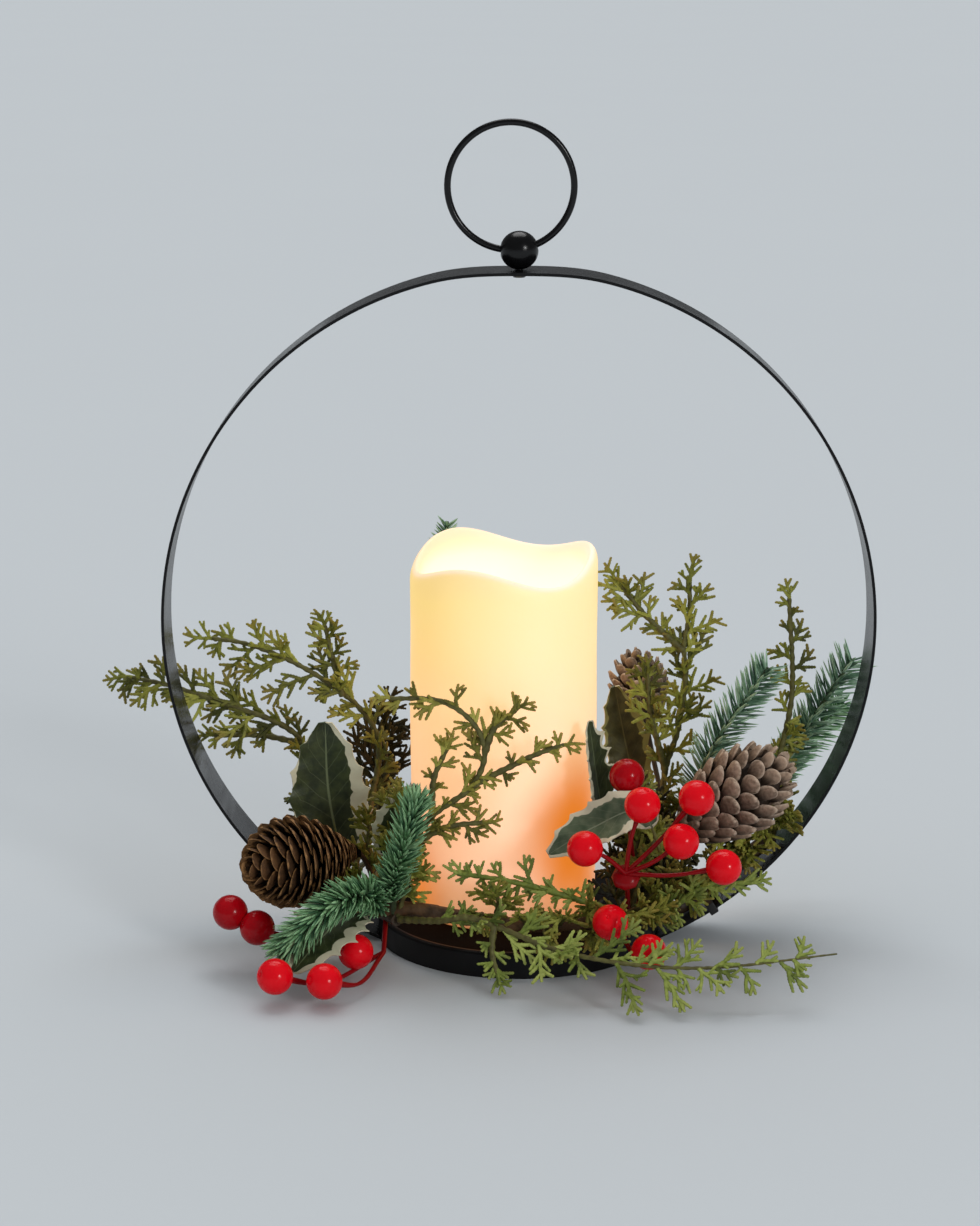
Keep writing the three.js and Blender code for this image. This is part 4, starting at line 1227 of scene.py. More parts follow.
@dataclass
class Candle:
    """The wax shell with its wavy rim, and the lamp and battery insert inside it."""

    radius: float = 38.1
    bore: float = 31.5
    bottom: float = 10.0
    rim: float = 156.0
    wave_depth: float = 34.0
    wave: tuple[float, float] = (4.0, 2.6)
    wave_phase: float = 8.0
    wall_rings: int = 44
    crown: tuple[tuple[float, float], ...] = (
        (0.25, 3.2), (0.8, 1.6), (1.7, 0.4), (2.6, 0.0), (3.4, 0.4), (4.2, 1.6))
    throat: tuple[tuple[float, float], ...] = ((1.8, 4.0), (1.0, 8.0), (0.5, 16.0), (0.1, 26.0))
    dents: float = 0.35
    dent_size: float = 22.0
    insert_radius: float = 31.2
    insert_bottom: float = 10.6
    flange: float = 5.0
    tube_top: float = 64.0
    well: float = 13.4
    cover_radius: float = 19.0
    cover_thickness: float = 2.2
    seat_depth: float = 3.0
    plate_height: float = 112.3
    bulb: tuple[float, float] = (2.5, 12.0)
    coin_slot: Point = (16.0, 2.2, 1.4)
    switch_x: float = 25.0
    switch_slot: tuple[float, float] = (5.0, 11.0)
    knob: Point = (4.4, 6.0, 4.0)
    knob_back: float = 2.0
    knob_groove: Point = (5.4, 0.6, 1.2)
    knob_grooves: tuple[float, ...] = (-1.5, 0.0, 1.5)
    gap: float = 0.3
    kept: dict[str, Finish] = field(default_factory=lambda: {
        "cover_contact": BRIGHT_STEEL, "top_contact": BRIGHT_STEEL, "circuit_board": BOARD,
        "lamp_stem": WHITE_PLASTIC, "battery_1": SLEEVE, "battery_2": SLEEVE, "battery_3": SLEEVE,
    })

    @property
    def axis(self) -> Point:
        """The foot of the candle's axis."""
        return CANDLE_X, CANDLE_Y, 0.0

    def build(self) -> None:
        """Builds the shell and the insert, and dresses the solids that stay."""
        settle(wear(self._shell(), WAX), "wax_shell", Body.CANDLE, "wax", "candle_shell")
        settle(wear(self._holder(), WHITE_PLASTIC), "battery_well", Body.CANDLE, "white_plastic",
               "battery_holder")
        settle(wear(self._cover(), WHITE_PLASTIC), "twist_cover", Body.COVER, "white_plastic",
               "battery_cover")
        settle(wear(self._plate(), WHITE_PLASTIC), "lamp_deck", Body.CANDLE, "white_plastic", "lamp_plate")
        settle(wear(self._bulb(), LAMP), "lamp_bulb", Body.CANDLE, "lamp", "led_lamp")
        settle(wear(self._knob(), BLACK_PLASTIC), "slide_knob", Body.SWITCH, "switch_black", "switch_knob")
        for node, finish in self.kept.items():
            wear(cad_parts[node], finish)
            LOG.info("%s: dressed", node)

    def _lift(self, angle: float) -> float:
        """Height that the melted rim adds at an angle round the candle."""
        lobes, back = self.wave
        return lobes * math.cos(3 * (angle - math.radians(self.wave_phase))) + back * math.sin(angle)

    def _shell(self) -> Piece:
        """A wax tube, turned, then waved at the rim and softly dented.

        Returns:
            The shell.
        """
        wall = taper(self.bottom + 1, self.rim - 5, self.wall_rings)
        crown = [(self.radius - inset, self.rim - drop) for inset, drop in self.crown]
        crown += [(self.bore + flare, self.rim - drop) for flare, drop in self.throat]
        inner = [(self.bore, self.rim - self.wave_depth), (self.bore, 80), (self.bore, 40)]
        profile = [(self.bore, self.bottom), (self.radius - 1, self.bottom),
                   (self.radius - 0.3, self.bottom + 0.3)]
        profile += [(self.radius, height) for height in wall] + crown + inner + [(self.bore, self.bottom)]
        shell = lathe(profile, 160)
        for vertex in shell.data.vertices:
            x, y, z = vertex.co
            share = ease(clamp((z - self.rim + self.wave_depth) / (self.wave_depth - 1)))
            vertex.co.z = z + share * self._lift(math.atan2(y, x))
            if math.hypot(x, y) > self.bore + 1.5:
                dent = self.dents * noise.noise(Vector((x, y, 0.6 * z)) / self.dent_size)
                vertex.co.xy *= 1 + (dent - self.dents * 0.5) / self.radius
        shell.data.transform(Matrix.Translation(self.axis))
        return round_edges(shell, 0, 60)

    def _holder(self) -> Piece:
        """A flange that closes the foot, with the battery well above it and a slot for the switch.

        Returns:
            The holder.
        """
        seat = self.insert_bottom + self.seat_depth
        outer = self.well + 2
        edge = self.cover_radius + self.gap
        holder = lathe([
            (0, self.tube_top - 2), (self.well, self.tube_top - 2), (self.well, seat), (edge, seat),
            (edge, self.insert_bottom), (self.insert_radius, self.insert_bottom),
            (self.insert_radius, self.insert_bottom + self.flange), (outer, self.insert_bottom + self.flange),
            (outer, self.tube_top), (0, self.tube_top),
        ], 96, self.axis)
        slot = (CANDLE_X + self.switch_x, CANDLE_Y, self.insert_bottom)
        cut(holder, block((*self.switch_slot, 2 * self.flange + 4), slot))
        return round_edges(holder, 0.3, 30)

    def _cover(self) -> Piece:
        """A twist-off lid with a coin slot.

        Returns:
            The lid.
        """
        low = self.insert_bottom + self.gap
        edge = self.cover_radius
        cover = lathe([(0, low), (edge - 0.6, low), (edge, low + 0.6), (edge, low + self.cover_thickness),
                       (0, low + self.cover_thickness)], 96, self.axis)
        cut(cover, block(self.coin_slot, (CANDLE_X, CANDLE_Y, low + 0.3)))
        return round_edges(cover, 0.25, 30)

    def _plate(self) -> Piece:
        """The deck that closes the shell below the lamp.

        Returns:
            The deck.
        """
        hole = self.bulb[0] + 0.5
        low, high = self.plate_height, self.plate_height + 2
        plate = lathe([(hole, low), (self.insert_radius, low), (self.insert_radius, high), (hole, high),
                       (hole, low)], 96, self.axis)
        return round_edges(plate, 0.25, 30)

    def _bulb(self) -> Piece:
        """A round-nosed lamp with a collar.

        Returns:
            The lamp.
        """
        radius, height = self.bulb
        low, top = self.plate_height, self.plate_height + height
        nose = [(radius * math.cos(a), top - radius + radius * math.sin(a))
                for a in (math.pi / 2 * k / 10 for k in range(10))]
        bulb = lathe([(0, low), (radius, low), *nose, (0, top)], 32, self.axis)
        return round_edges(bulb, 0, 40)

    def _knob(self) -> Piece:
        """A ribbed thumb slide.

        Returns:
            The slide.
        """
        low = self.insert_bottom + self.gap
        x, y = CANDLE_X + self.switch_x, CANDLE_Y - self.knob_back
        knob = block(self.knob, (x, y, low + self.knob[2] / 2))
        for place in self.knob_grooves:
            cut(knob, block(self.knob_groove, (x, y + place, low)))
        return round_edges(knob, 0.15, 30)


@dataclass
class TiedStems:
    """The taped stem bundles and the bands that tie them to the strip."""

    wraps: int = 18
    rings: int = 6
    ridge: float = 0.22
    band_width: float = 3.5
    band: float = 1.0
    ties: tuple[tuple[str, float], ...] = (("left", 232.0), ("right", -56.0))

    def build(self) -> None:
        """Builds both bundles and both ties."""
        for side, spine in (("left", LEFT_BUNDLE), ("right", RIGHT_BUNDLE)):
            settle(wear(self._bundle(spine), STEM_TAPE), f"taped_stems_{side}", Body.FRAME, "tape",
                   f"stem_bundle_{side}")
        settle(wear(self._bundle(FRONT_STEM), TWIG_BARK), "front_stem", Body.FRAME, "tape")
        for side, degrees in self.ties:
            settle(wear(self._tie(degrees), BLACK_PLASTIC), f"strip_tie_{side}", Body.FRAME, "tie",
                   f"tie_{side}")

    def _bundle(self, spine: Spine) -> Piece:
        """A bundle wound with tape, each turn lapped over the last.

        Args:
            spine: The bundle's line.

        Returns:
            The bundle.
        """
        count = self.wraps * self.rings
        radii = [radius + self.ridge * ((k % self.rings) / (self.rings - 1) - 0.6)
                 for k, radius in enumerate(taper(*BUNDLE_RADII, count))]
        return tube([(spine.spaced(count), radii)], 5)

    def _tie(self, degrees: float) -> Piece:
        """A flat band round the strip and the stems, with rounded corners.

        Args:
            degrees: Where it sits round the hoop.

        Returns:
            The band.
        """
        half = STRIP_WIDTH / 2 + 0.3
        low = -STRIP_THICKNESS / 2 - 0.3
        high = low + STRIP_THICKNESS + 2 * BUNDLE_RADII[0] + 1.2
        shoulder = BUNDLE_RADII[0] + 2
        knee = low + STRIP_THICKNESS + 2
        outline = [(-half, low), (half, low), (half, knee),
                   (shoulder, high), (-shoulder, high), (-half, knee)]
        angle = math.radians(degrees)
        inward = Vector((-math.cos(angle), 0, -math.sin(angle)))
        across = Vector((0, 1, 0))
        along = across.cross(inward)
        deselect()
        bpy.ops.mesh.primitive_circle_add(vertices=len(outline), radius=1, fill_type="NOTHING")
        tie = bpy.context.object
        for vertex, (a, b) in zip(tie.data.vertices, outline):
            vertex.co = (a, b, -self.band_width / 2)
        edit()
        bpy.ops.mesh.extrude_region_move(TRANSFORM_OT_translate={"value": (0, 0, self.band_width)})
        close_seams()
        leave_edit()
        modify(tie, "SOLIDIFY", thickness=self.band, offset=1.0, use_even_offset=True)
        turn = Matrix((across, inward, along)).transposed().to_4x4()
        foot = Vector((HOOP_RADIUS * math.cos(angle), 0, HOOP_CENTRE + HOOP_RADIUS * math.sin(angle)))
        tie.data.transform(Matrix.Translation(foot) @ turn)
        return round_edges(tie, 0.3, 25, 3)


@dataclass(frozen=True)
class Shoot:
    """One shoot of a cedar spray."""

    spine: tuple[Point, ...]
    reach: float
    twigs: int
    bare: float = 0.25
    stop: float = 1.0


@dataclass(frozen=True)
class Spray:
    """A cedar spray: its main shoot, the shoots that fork from it, and its colour."""

    name: str
    main: Shoot
    forks: tuple[Shoot, ...] = ()
    face: Point = FACING_FRONT
    leaf: Finish = CEDAR_OLIVE
    bark: Finish = CEDAR_STEM
    layers: int = 1
    cover: float = 0.12


CEDAR_SPRAYS = (
    Spray("left_long", Shoot(((-94, 5, 36), (-89, 14, 54), (-89, 20, 74), (-98, 21, 82), (-120, 22, 90),
                              (-145, 24, 98), (-160, 27, 100.5)), 14, 7, 0.42),
          (Shoot(((-89, 20, 74), (-106, 22, 77), (-126, 22, 77)), 7, 3),)),
    Spray("left_upper", Shoot(((-66, 7, 19), (-61, 15, 50), (-58, 24, 74), (-66, 29, 87), (-89, 30, 104),
                               (-113, 31, 114), (-127, 32, 116)), 16, 6, 0.45),
          (Shoot(((-73, 29.5, 92), (-77, 30, 108), (-80, 30, 122)), 9, 3),)),
    # Painted shade: this spray lies deep in the left bundle and takes the shaded cedar.
    Spray("left_dark", Shoot(((-57, -8, 21), (-57, 14, 32), (-59, 33, 49), (-59, 41, 66), (-55, 44, 80)),
                             18, 5, 0.3), leaf=CEDAR_SHADED, layers=2),
    # Painted light: the spray in front of the candle takes the candlelit cedar.
    Spray("left_front", Shoot(((-53, -28, 25), (-46, -38, 42), (-34, -42, 62), (-18, -43, 75), (-13, -43, 89),
                               (-18, -43, 101), (-30, -42, 109), (-50, -41, 110)), 10, 6, 0.28),
          (Shoot(((-18, -43, 75), (-5, -43.5, 82), (7, -43.5, 88), (18, -43.5, 92)), 5, 3),
           Shoot(((-13, -43, 89), (-9, -43.5, 99), (-1, -43.5, 106)), 8, 2),
           Shoot(((-34, -42, 62), (-33, -43, 78), (-28, -43, 90)), 7, 2),
           Shoot(((-40, -40.5, 51), (-28, -43, 58), (-14, -43, 60)), 8, 2)), leaf=CEDAR_CANDLELIT),
    Spray("front_long", Shoot(((-45, -46, 21), (-30, -57, 24), (-19, -62, 27), (16, -80, 20), (47, -88, 17),
                               (75, -90, 17), (122, -88, 22)), 17, 8, 0.25, 0.94),
          (Shoot(((-9, -67, 26), (-10, -72, 17), (-8, -76, 9)), 6, 2),), (0.0, -0.8, 0.6), CEDAR_FRESH),
    Spray("front_small", Shoot(((42, -37, 21), (20, -48, 31), (0, -49, 37), (-22, -47, 40)), 9, 5, 0.25),
          leaf=CEDAR_FRESH, bark=CEDAR_FRESH),
    Spray("right_upper", Shoot(((66, 4, 20), (60, 14, 45), (61, 20, 63), (66, 21, 80), (69, 21, 104),
                                (68, 21, 116), (70, 21, 129), (70, 21, 142)), 16, 7, 0.34),
          (Shoot(((68, 21, 114), (59, 21.5, 122), (50, 21.5, 131), (42, 21, 141)), 11, 4),
           Shoot(((61, 20, 63), (57, 17, 78), (54, 16, 92), (53, 16, 106)), 10, 4))),
    Spray("right_thin", Shoot(((97, -4, 42), (107, 8, 72), (112, 13, 97), (110, 13, 138)), 8, 5, 0.45)),
    Spray("right_low", Shoot(((50, -36, 16), (60, -48, 26), (74, -49, 36), (92, -48, 37)), 9, 4, 0.25),
          leaf=CEDAR_FRESH, bark=CEDAR_FRESH),
)


@dataclass(frozen=True)
class Thicket:
    """Short sprigs tucked into a bundle's tape, given by where each one ends."""

    name: str
    ends: tuple[Point, ...]
    leaf: Finish = CEDAR_OLIVE
    bundle: Optional[Spine] = None
    layers: int = 2
    habit: Shoot = Shoot((), 10.0, 2, 0.3)


THICKETS = (
    Thicket("right", ((48, -31, 50), (55, -37, 54), (50, -20, 68), (60, -42, 36), (70, -46, 34),
                      (79, -40, 39), (84, -14, 46), (97, -2, 55), (66, -10, 58), (106, 0, 60), (100, -10, 46),
                      (108, -16, 55), (92, -12, 38))),
    # Painted shade: sprigs deep in the right bundle take the shaded cedar.
    Thicket("right_deep", ((52, -24, 42), (60, -22, 50), (68, -20, 44), (56, -16, 60), (74, -18, 52),
                           (64, -28, 34), (50, -28, 34), (80, -8, 48), (42, -26, 37), (39, -31, 31),
                           (46, -22, 46)), CEDAR_SHADED),
    Thicket("left", ((-47, -30, 50), (-51, -24, 62), (-41, -42, 42), (-60, -18, 52), (-66, -34, 32),
                     (-46, -36, 66))),
    Thicket("front", ((-8, -54, 33), (3, -55, 25), (16, -56, 25), (28, -54, 26), (42, -54, 24), (53, -51, 25),
                      (30, -58, 18), (12, -59, 15), (-14, -55, 24)), CEDAR_OLIVE, FRONT_STEM, 1),
)


class TwigSize(Enum):
    """The lengths that cedar twigs are modelled in."""

    STUB = 6.0
    SHORT = 11.0
    MEDIUM = 17.0
    LONG = 24.0


Twigs = dict[TwigSize, list[Piece]]


@dataclass
class CedarSprays:
    """Flat cedar sprays: stems with twigs of knobby scale leaves."""

    lobe_length: float = 5.2
    lobe_radius: float = 0.95
    lobe_step: float = 3.6
    flatness: float = 0.8
    variants: int = 5
    angle: float = 42.0
    angle_play: float = 16.0
    lifts: tuple[float, ...] = (0.1, 0.7, -0.6)
    stem: tuple[float, float] = (1.5, 0.9)
    stem_tint: float = 0.4
    sprig: tuple[float, float] = (1.1, 0.8)
    sprig_tint: float = 0.3
    knobs: tuple[float, float] = (4.0, 0.14)
    cover_step: float = 3.6
    cover_lengths: tuple[float, float] = (6, 11)
    cover_tone: float = -0.22
    fill: float = 0.5
    seed: int = 11

    def build(self) -> None:
        """Models the twigs once and grows each spray from copies."""
        rng = random.Random(self.seed)
        lobe = self._lobe()
        twigs: Twigs = {size: [self._twig(lobe, size.value, rng) for _ in range(self.variants)]
                        for size in TwigSize}
        scrap(lobe)
        for spray in CEDAR_SPRAYS:
            self._grow(spray, twigs, random.Random(spray.name))
        for thicket in THICKETS:
            self._tuck(thicket, twigs, random.Random(thicket.name))
        for variants in twigs.values():
            scrap(*variants)

    def _lobe(self) -> Piece:
        """One branchlet along X, with the bulges of its overlapping scales.

        Returns:
            The branchlet.
        """
        full, length = self.lobe_radius, self.lobe_length
        profile = [(0, 0), (0.75, 0.04), (1.0, 0.15), (0.8, 0.27), (1.0, 0.4), (0.74, 0.52), (0.95, 0.65),
                   (0.68, 0.77), (0.84, 0.88), (0.5, 0.97), (0, 1.0)]
        lobe = lathe([(full * r, length * z) for r, z in profile], 5)
        lobe.data.transform(Matrix.Diagonal((1, 1, self.flatness, 1)) @ UPRIGHT_TO_X)
        return round_edges(lobe, 0, 50)

    def _chain(self, lobe: Piece, root: Vector, heading: float, reach: float, forked: float,
               rng: random.Random) -> tuple[list[Piece], list[Vector]]:
        """Sets lobes end to end, with a shorter one beside some of them.

        Args:
            lobe: The branchlet to copy.
            root: Where the chain starts.
            heading: Its direction in the twig's flat, in radians.
            reach: Its length.
            forked: The share of its lobes that have one beside them.
            rng: Gives the chain its small differences.

        Returns:
            The copies, and the points where they meet.
        """
        up = Vector((0, 0, 1))
        count = max(round(reach / self.lobe_step), 1)
        stretch = clamp(reach / (count * self.lobe_step), 0.55, 1.25)
        parts = []
        ends = [root]
        for k in range(count):
            along = Vector((math.cos(heading), math.sin(heading), rng.uniform(-0.22, 0.22))).normalized()
            thick = 1.12 - 0.26 * (k + 1) / count
            parts.append(stamp(lobe, aim(ends[-1], along, up, (stretch, thick, thick))))
            if rng.random() < forked:
                fork = heading + rng.choice((-1, 1)) * rng.uniform(0.55, 0.85)
                beside = Vector((math.cos(fork), math.sin(fork), rng.uniform(-0.3, 0.3)))
                foot = ends[-1] + along * (0.45 * self.lobe_step)
                parts.append(stamp(lobe, aim(foot, beside, up, (rng.uniform(0.5, 0.75), 0.85, 0.85))))
            ends.append(ends[-1] + along * (self.lobe_step * stretch))
            heading += rng.uniform(-0.2, 0.2)
        return parts, ends

    def _twig(self, lobe: Piece, length: float, rng: random.Random) -> Piece:
        """A flat twig along X: a chain of lobes with shorter chains to both sides.

        Args:
            lobe: The branchlet to copy.
            length: How far the twig reaches.
            rng: Gives the twig its small differences.

        Returns:
            The twig.
        """
        parts, ends = self._chain(lobe, Vector((0, 0, 0)), rng.uniform(-0.1, 0.1), length, 0.0, rng)
        axis = Spine([tuple(end) for end in ends])
        side = rng.choice((-1, 1))
        distance = 0.1 * length + 0.8
        while distance < length - 2.0:
            point, tangent = axis.at(distance)
            reach = min(0.43 * (length - distance) + 2.4, 8.6) * rng.uniform(0.6, 1.2)
            heading = math.atan2(tangent.y, tangent.x) + side * math.radians(rng.uniform(26, 46))
            parts += self._chain(lobe, point, heading, reach, 0.7 if reach > 4 else 0.0, rng)[0]
            side = -side
            distance += rng.uniform(1.8, 3.1)
        twig = join(parts)
        far = max(vertex.co.x for vertex in twig.data.vertices)
        mark(twig, "along", [clamp(vertex.co.x / far) for vertex in twig.data.vertices])
        return twig

    @staticmethod
    def _dye(twigs: Twigs, leaf: Finish) -> None:
        """Gives every twig template a colour.

        Args:
            twigs: Twig templates by size.
            leaf: The colour of the spray that comes next.
        """
        for variants in twigs.values():
            for twig in variants:
                wear(twig, leaf)

    def _grow(self, spray: Spray, twigs: Twigs, rng: random.Random) -> None:
        """Grows one spray.

        Args:
            spray: The spray's shoots.
            twigs: Twig templates by size.
            rng: The spray's own random numbers.
        """
        self._dye(twigs, spray.leaf)
        shoots = [(spray.main, Spine(seated(spray.main.spine), spray.face))]
        shoots += [(fork, Spine(fork.spine, spray.face)) for fork in spray.forks]
        parts = []
        runs = []
        for shoot, spine in shoots:
            root, tip = self.stem
            runs.append(self._stem(spine, root, tip if shoot.stop == 1 else 0.4 * tip))
            for layer in range(spray.layers):
                parts += self._leaves(shoot, spine, layer, twigs, rng)
        parts += self._undergrowth(spray, shoots[0][1], twigs, rng)
        stems = tinted(wear(tube(runs), spray.bark), self.stem_tint)
        name = spray.name
        settle(join([stems, *parts]), f"cedar_spray_{name}", Body.FRAME, "cedar", f"cedar_{name}")

    def _stem(self, spine: Spine, root: float, tip: float) -> Run:
        """The points of a stem and its radii, knobby with the scales that clothe it.

        Args:
            spine: The stem's line.
            root: Its radius where it starts.
            tip: Its radius where it ends.

        Returns:
            The points, and the radius at each one.
        """
        gap, rise = self.knobs
        steps = max(int(spine.length), 12)
        knobs = [1 + rise * math.sin(math.tau * spine.length * k / steps / gap) for k in range(steps + 1)]
        return spine.spaced(steps), [radius * knob for radius, knob in zip(taper(root, tip, steps), knobs)]

    def _tuck(self, thicket: Thicket, twigs: Twigs, rng: random.Random) -> None:
        """Tucks short sprigs in among the stems.

        Args:
            thicket: The sprigs.
            twigs: Twig templates by size.
            rng: The thicket's own random numbers.
        """
        self._dye(twigs, thicket.leaf)
        parts = []
        runs = []
        for end in thicket.ends:
            root = Vector(seated([end, end], thicket.bundle)[0])
            knee = root.lerp(Vector(end), 0.55) + Vector((rng.uniform(-3, 3), rng.uniform(-4, 0), 3))
            spine = Spine([tuple(root), tuple(knee), end])
            runs.append(self._stem(spine, *self.sprig))
            for layer in range(thicket.layers):
                parts += self._leaves(thicket.habit, spine, layer, twigs, rng)
        stems = tinted(wear(tube(runs), CEDAR_STEM), self.sprig_tint)
        settle(join([stems, *parts]), f"thicket_{thicket.name}", Body.FRAME, "cedar")

    def _leaves(self, shoot: Shoot, spine: Spine, layer: int, twigs: Twigs,
                rng: random.Random) -> list[Piece]:
        """Sets twigs in pairs along a shoot, with shorter ones between and one at its tip.

        Args:
            shoot: The shoot's sizes.
            spine: Its line.
            layer: 0 for the flat of the spray, and more for twigs that stand out of it.
            twigs: Twig templates by size.
            rng: Random numbers.

        Returns:
            The copies.
        """
        start = shoot.bare * spine.length
        cell = (shoot.stop * spine.length - start) / shoot.twigs
        parts = []
        for k in range(shoot.twigs):
            swell = 0.3 + 0.7 * math.sin(math.pi * (0.25 + 0.72 * k / shoot.twigs))
            reach = shoot.reach * swell
            for side, share in ((1, 0.3), (-1, 0.7)):
                here = start + (k + share + 0.2 * layer) * cell
                lift = self.lifts[layer % len(self.lifts)] + rng.uniform(-0.4, 0.4)
                parts += self._set(spine, here, side, lift, reach * rng.uniform(0.75, 1.5), twigs, rng)
                if rng.random() < self.fill:
                    between = here + rng.uniform(0.25, 0.5) * cell
                    parts += self._set(spine, between, side, rng.uniform(-0.6, 0.8), 0.6 * reach, twigs, rng)
        if layer == 0 and shoot.stop == 1:
            point, tangent, _, face = spine.axes(spine.length - 1)
            size = TwigSize.MEDIUM if shoot.reach > 10 else TwigSize.SHORT
            matrix = aim(point, tangent, face, (0.75, 0.95, 1))
            parts.append(stamp(rng.choice(twigs[size]), matrix, rng.uniform(0.3, 0.7)))
        return parts

    def _undergrowth(self, spray: Spray, spine: Spine, twigs: Twigs, rng: random.Random) -> list[Piece]:
        """Sets small dark twigs all round the lower stem.

        Args:
            spray: The spray.
            spine: Its main line.
            twigs: Twig templates by size.
            rng: Random numbers.

        Returns:
            The copies.
        """
        parts = []
        distance = spray.cover * spine.length
        while distance < spray.main.bare * spine.length:
            side = rng.choice((-1, 1))
            length = rng.uniform(*self.cover_lengths)
            lift = rng.uniform(-1.1, 1.1)
            parts += self._set(spine, distance, side, lift, length, twigs, rng, self.cover_tone)
            distance += self.cover_step * rng.uniform(0.7, 1.3)
        return parts

    def _set(self, spine: Spine, distance: float, side: int, lift: float, length: float,
             twigs: Twigs, rng: random.Random, tone: float = 0.0) -> list[Piece]:
        """Sets one twig on a shoot, unless it would stand in the candle's way or in the floor.

        Args:
            spine: The shoot's line.
            distance: How far along it the twig grows.
            side: 1 or -1.
            lift: How far it stands out of the spray's flat.
            length: The twig's length.
            twigs: Templates by size.
            rng: Random numbers.
            tone: Lightens or darkens the copy.

        Returns:
            The copy, or nothing.
        """
        if distance > spine.length:
            return []
        point, tangent, across, face = spine.axes(distance)
        angle = math.radians(self.angle + rng.uniform(-self.angle_play, self.angle_play))
        along = (tangent * math.cos(angle) + across * (side * math.sin(angle)) + face * lift).normalized()
        size = min(TwigSize, key=lambda option: abs(option.value - length))
        stretch = clamp(length / size.value, 0.8, 1.2)
        tip = point + along * (size.value * stretch + 1)
        flank = across * (side * (0.3 * size.value))
        spots = (point, tip, point.lerp(tip, 0.6) + flank, point.lerp(tip, 0.6) - flank)
        lowest = min(spot.z for spot in spots)
        if not clear_of_candle(*spots) or not clear_of_strip(*spots) or lowest < FLOOR_CLEARANCE:
            return []
        facing = face + across * rng.uniform(-0.35, 0.35)
        tint = clamp(rng.gauss(0.5, 0.24) + tone)
        return [stamp(rng.choice(twigs[size]), aim(point, along, facing, (stretch, 1, 1)), tint)]


class Habit(Enum):
    """How a fir pick carries its needles."""

    BUSHY = "bushy"
    COMB = "comb"


@dataclass(frozen=True)
class Pick:
    """A fir pick: its line, where needles begin, how many, how long and how they stand."""

    name: str
    spine: tuple[Point, ...]
    bare: float
    needles: int
    reach: float
    habit: Habit
    leaf: Finish


FIR_PICKS = (
    Pick("left_lower", ((-55, -34, 20), (-60, -54, 33), (-73, -68, 33), (-91, -74, 18)), 0.12, 480, 11,
         Habit.BUSHY, FIR_BLUE),
    Pick("left_upper", ((-50, -40, 23), (-49, -50, 38), (-45, -55, 52), (-40, -55, 72)), 0.14, 420, 10,
         Habit.BUSHY, FIR_BLUE),
    Pick("right_inner", ((83, 3, 29), (74, 4, 45), (76, 3, 70), (101, 1, 112)), 0.26, 230, 10.5,
         Habit.COMB, FIR_DEEP),
    Pick("right_outer", ((101, 6, 46), (106, 20, 58), (116, 27, 73), (138, 28, 109)), 0.12, 230, 10.8,
         Habit.COMB, FIR_DEEP),
    Pick("right_low", ((90, 5, 34), (98, 33, 46), (113, 45, 61), (137, 48, 85)), 0.2, 240, 10.8,
         Habit.COMB, FIR_BLUE),
    Pick("back", ((-76, 5, 21), (-60, 38, 22), (-40, 58, 60), (-33, 57, 120), (-30, 55, 161)), 0.46, 270, 7.4,
         Habit.COMB, FIR_DEEP),
)


@dataclass
class FirPicks:
    """Fir picks: wire stems set with single needles."""

    needle_length: float = 10.0
    needle_width: float = 0.68
    slant: float = 1.25
    stem: tuple[float, float] = (1.3, 0.8)
    stem_steps: int = 40
    stem_tint: float = 0.5
    bushy_lean: tuple[float, float] = (0.75, 1.5)
    comb_lean: tuple[float, float] = (0.55, 0.95)
    comb: tuple[float, ...] = (0.0, math.pi, 0.5, math.pi - 0.5, -0.5, math.pi + 0.5, math.pi / 2)
    comb_play: float = 0.25

    def build(self) -> None:
        """Models one needle and sets copies along each pick."""
        needle = self._needle()
        for row in FIR_PICKS:
            self._grow(row, needle, random.Random(row.name))
        scrap(needle)

    def _needle(self) -> Piece:
        """A flat needle along X, keeled below and drawn to a point.

        Returns:
            The needle.
        """
        width, length = self.needle_width, self.needle_length
        profile = [(0.0, 0), (0.7, 0.02), (1.0, 0.2), (0.95, 0.6), (0.55, 0.88), (0, 1)]
        needle = lathe([(width * r, length * z) for r, z in profile], 4)
        needle.data.transform(Matrix.Diagonal((1, 1, 0.6, 1)) @ UPRIGHT_TO_X)
        for vertex in needle.data.vertices:
            vertex.co.z += 0.05 * length * (vertex.co.x / length) ** 2
        mark(needle, "along", [vertex.co.x / length for vertex in needle.data.vertices])
        pick(needle)
        bpy.ops.object.shade_smooth()
        return needle

    def _grow(self, row: Pick, needle: Piece, rng: random.Random) -> None:
        """Sets needles along one pick.

        Args:
            row: The pick's sizes.
            needle: The needle to copy.
            rng: The pick's own random numbers.
        """
        wear(needle, row.leaf)
        spine = Spine(seated(row.spine))
        run = (spine.spaced(self.stem_steps), taper(*self.stem, self.stem_steps))
        parts = [tinted(wear(tube([run]), FIR_STEM), self.stem_tint)]
        for k in range(row.needles):
            share = row.bare + (0.995 - row.bare) * (k + 0.5 * rng.random()) / row.needles
            point, tangent, side, face = spine.axes(share * spine.length)
            if row.habit is Habit.BUSHY:
                angle = k * GOLDEN_ANGLE
                lean = rng.uniform(*self.bushy_lean)
            else:
                angle = self.comb[k % len(self.comb)] + rng.uniform(-self.comb_play, self.comb_play)
                lean = rng.uniform(*self.comb_lean)
            out = side * math.cos(angle) + face * math.sin(angle)
            along = out + tangent * lean
            length = row.reach * self.slant * rng.uniform(0.82, 1.0) * (0.75 if share > 0.95 else 1)
            tip = point + along.normalized() * length
            if clear_of_candle(tip) and clear_of_strip(tip):
                size = (length / self.needle_length, 1.0, 1.0)
                parts.append(stamp(needle, aim(point, along, tangent, size), rng.random()))
        settle(join(parts), f"fir_pick_{row.name}", Body.FRAME, "fir", f"fir_{row.name}")


@dataclass(frozen=True)
class Leaf:
    """A holly leaf: its line, the way it faces, its width, its bare stalk and its edge."""

    name: str
    spine: tuple[Point, ...]
    face: Point
    width: float
    bare: float
    valley: float = 0.3
    cream: tuple[float, float] = (0.0, 0.0)
    finish: Finish = HOLLY_TOP


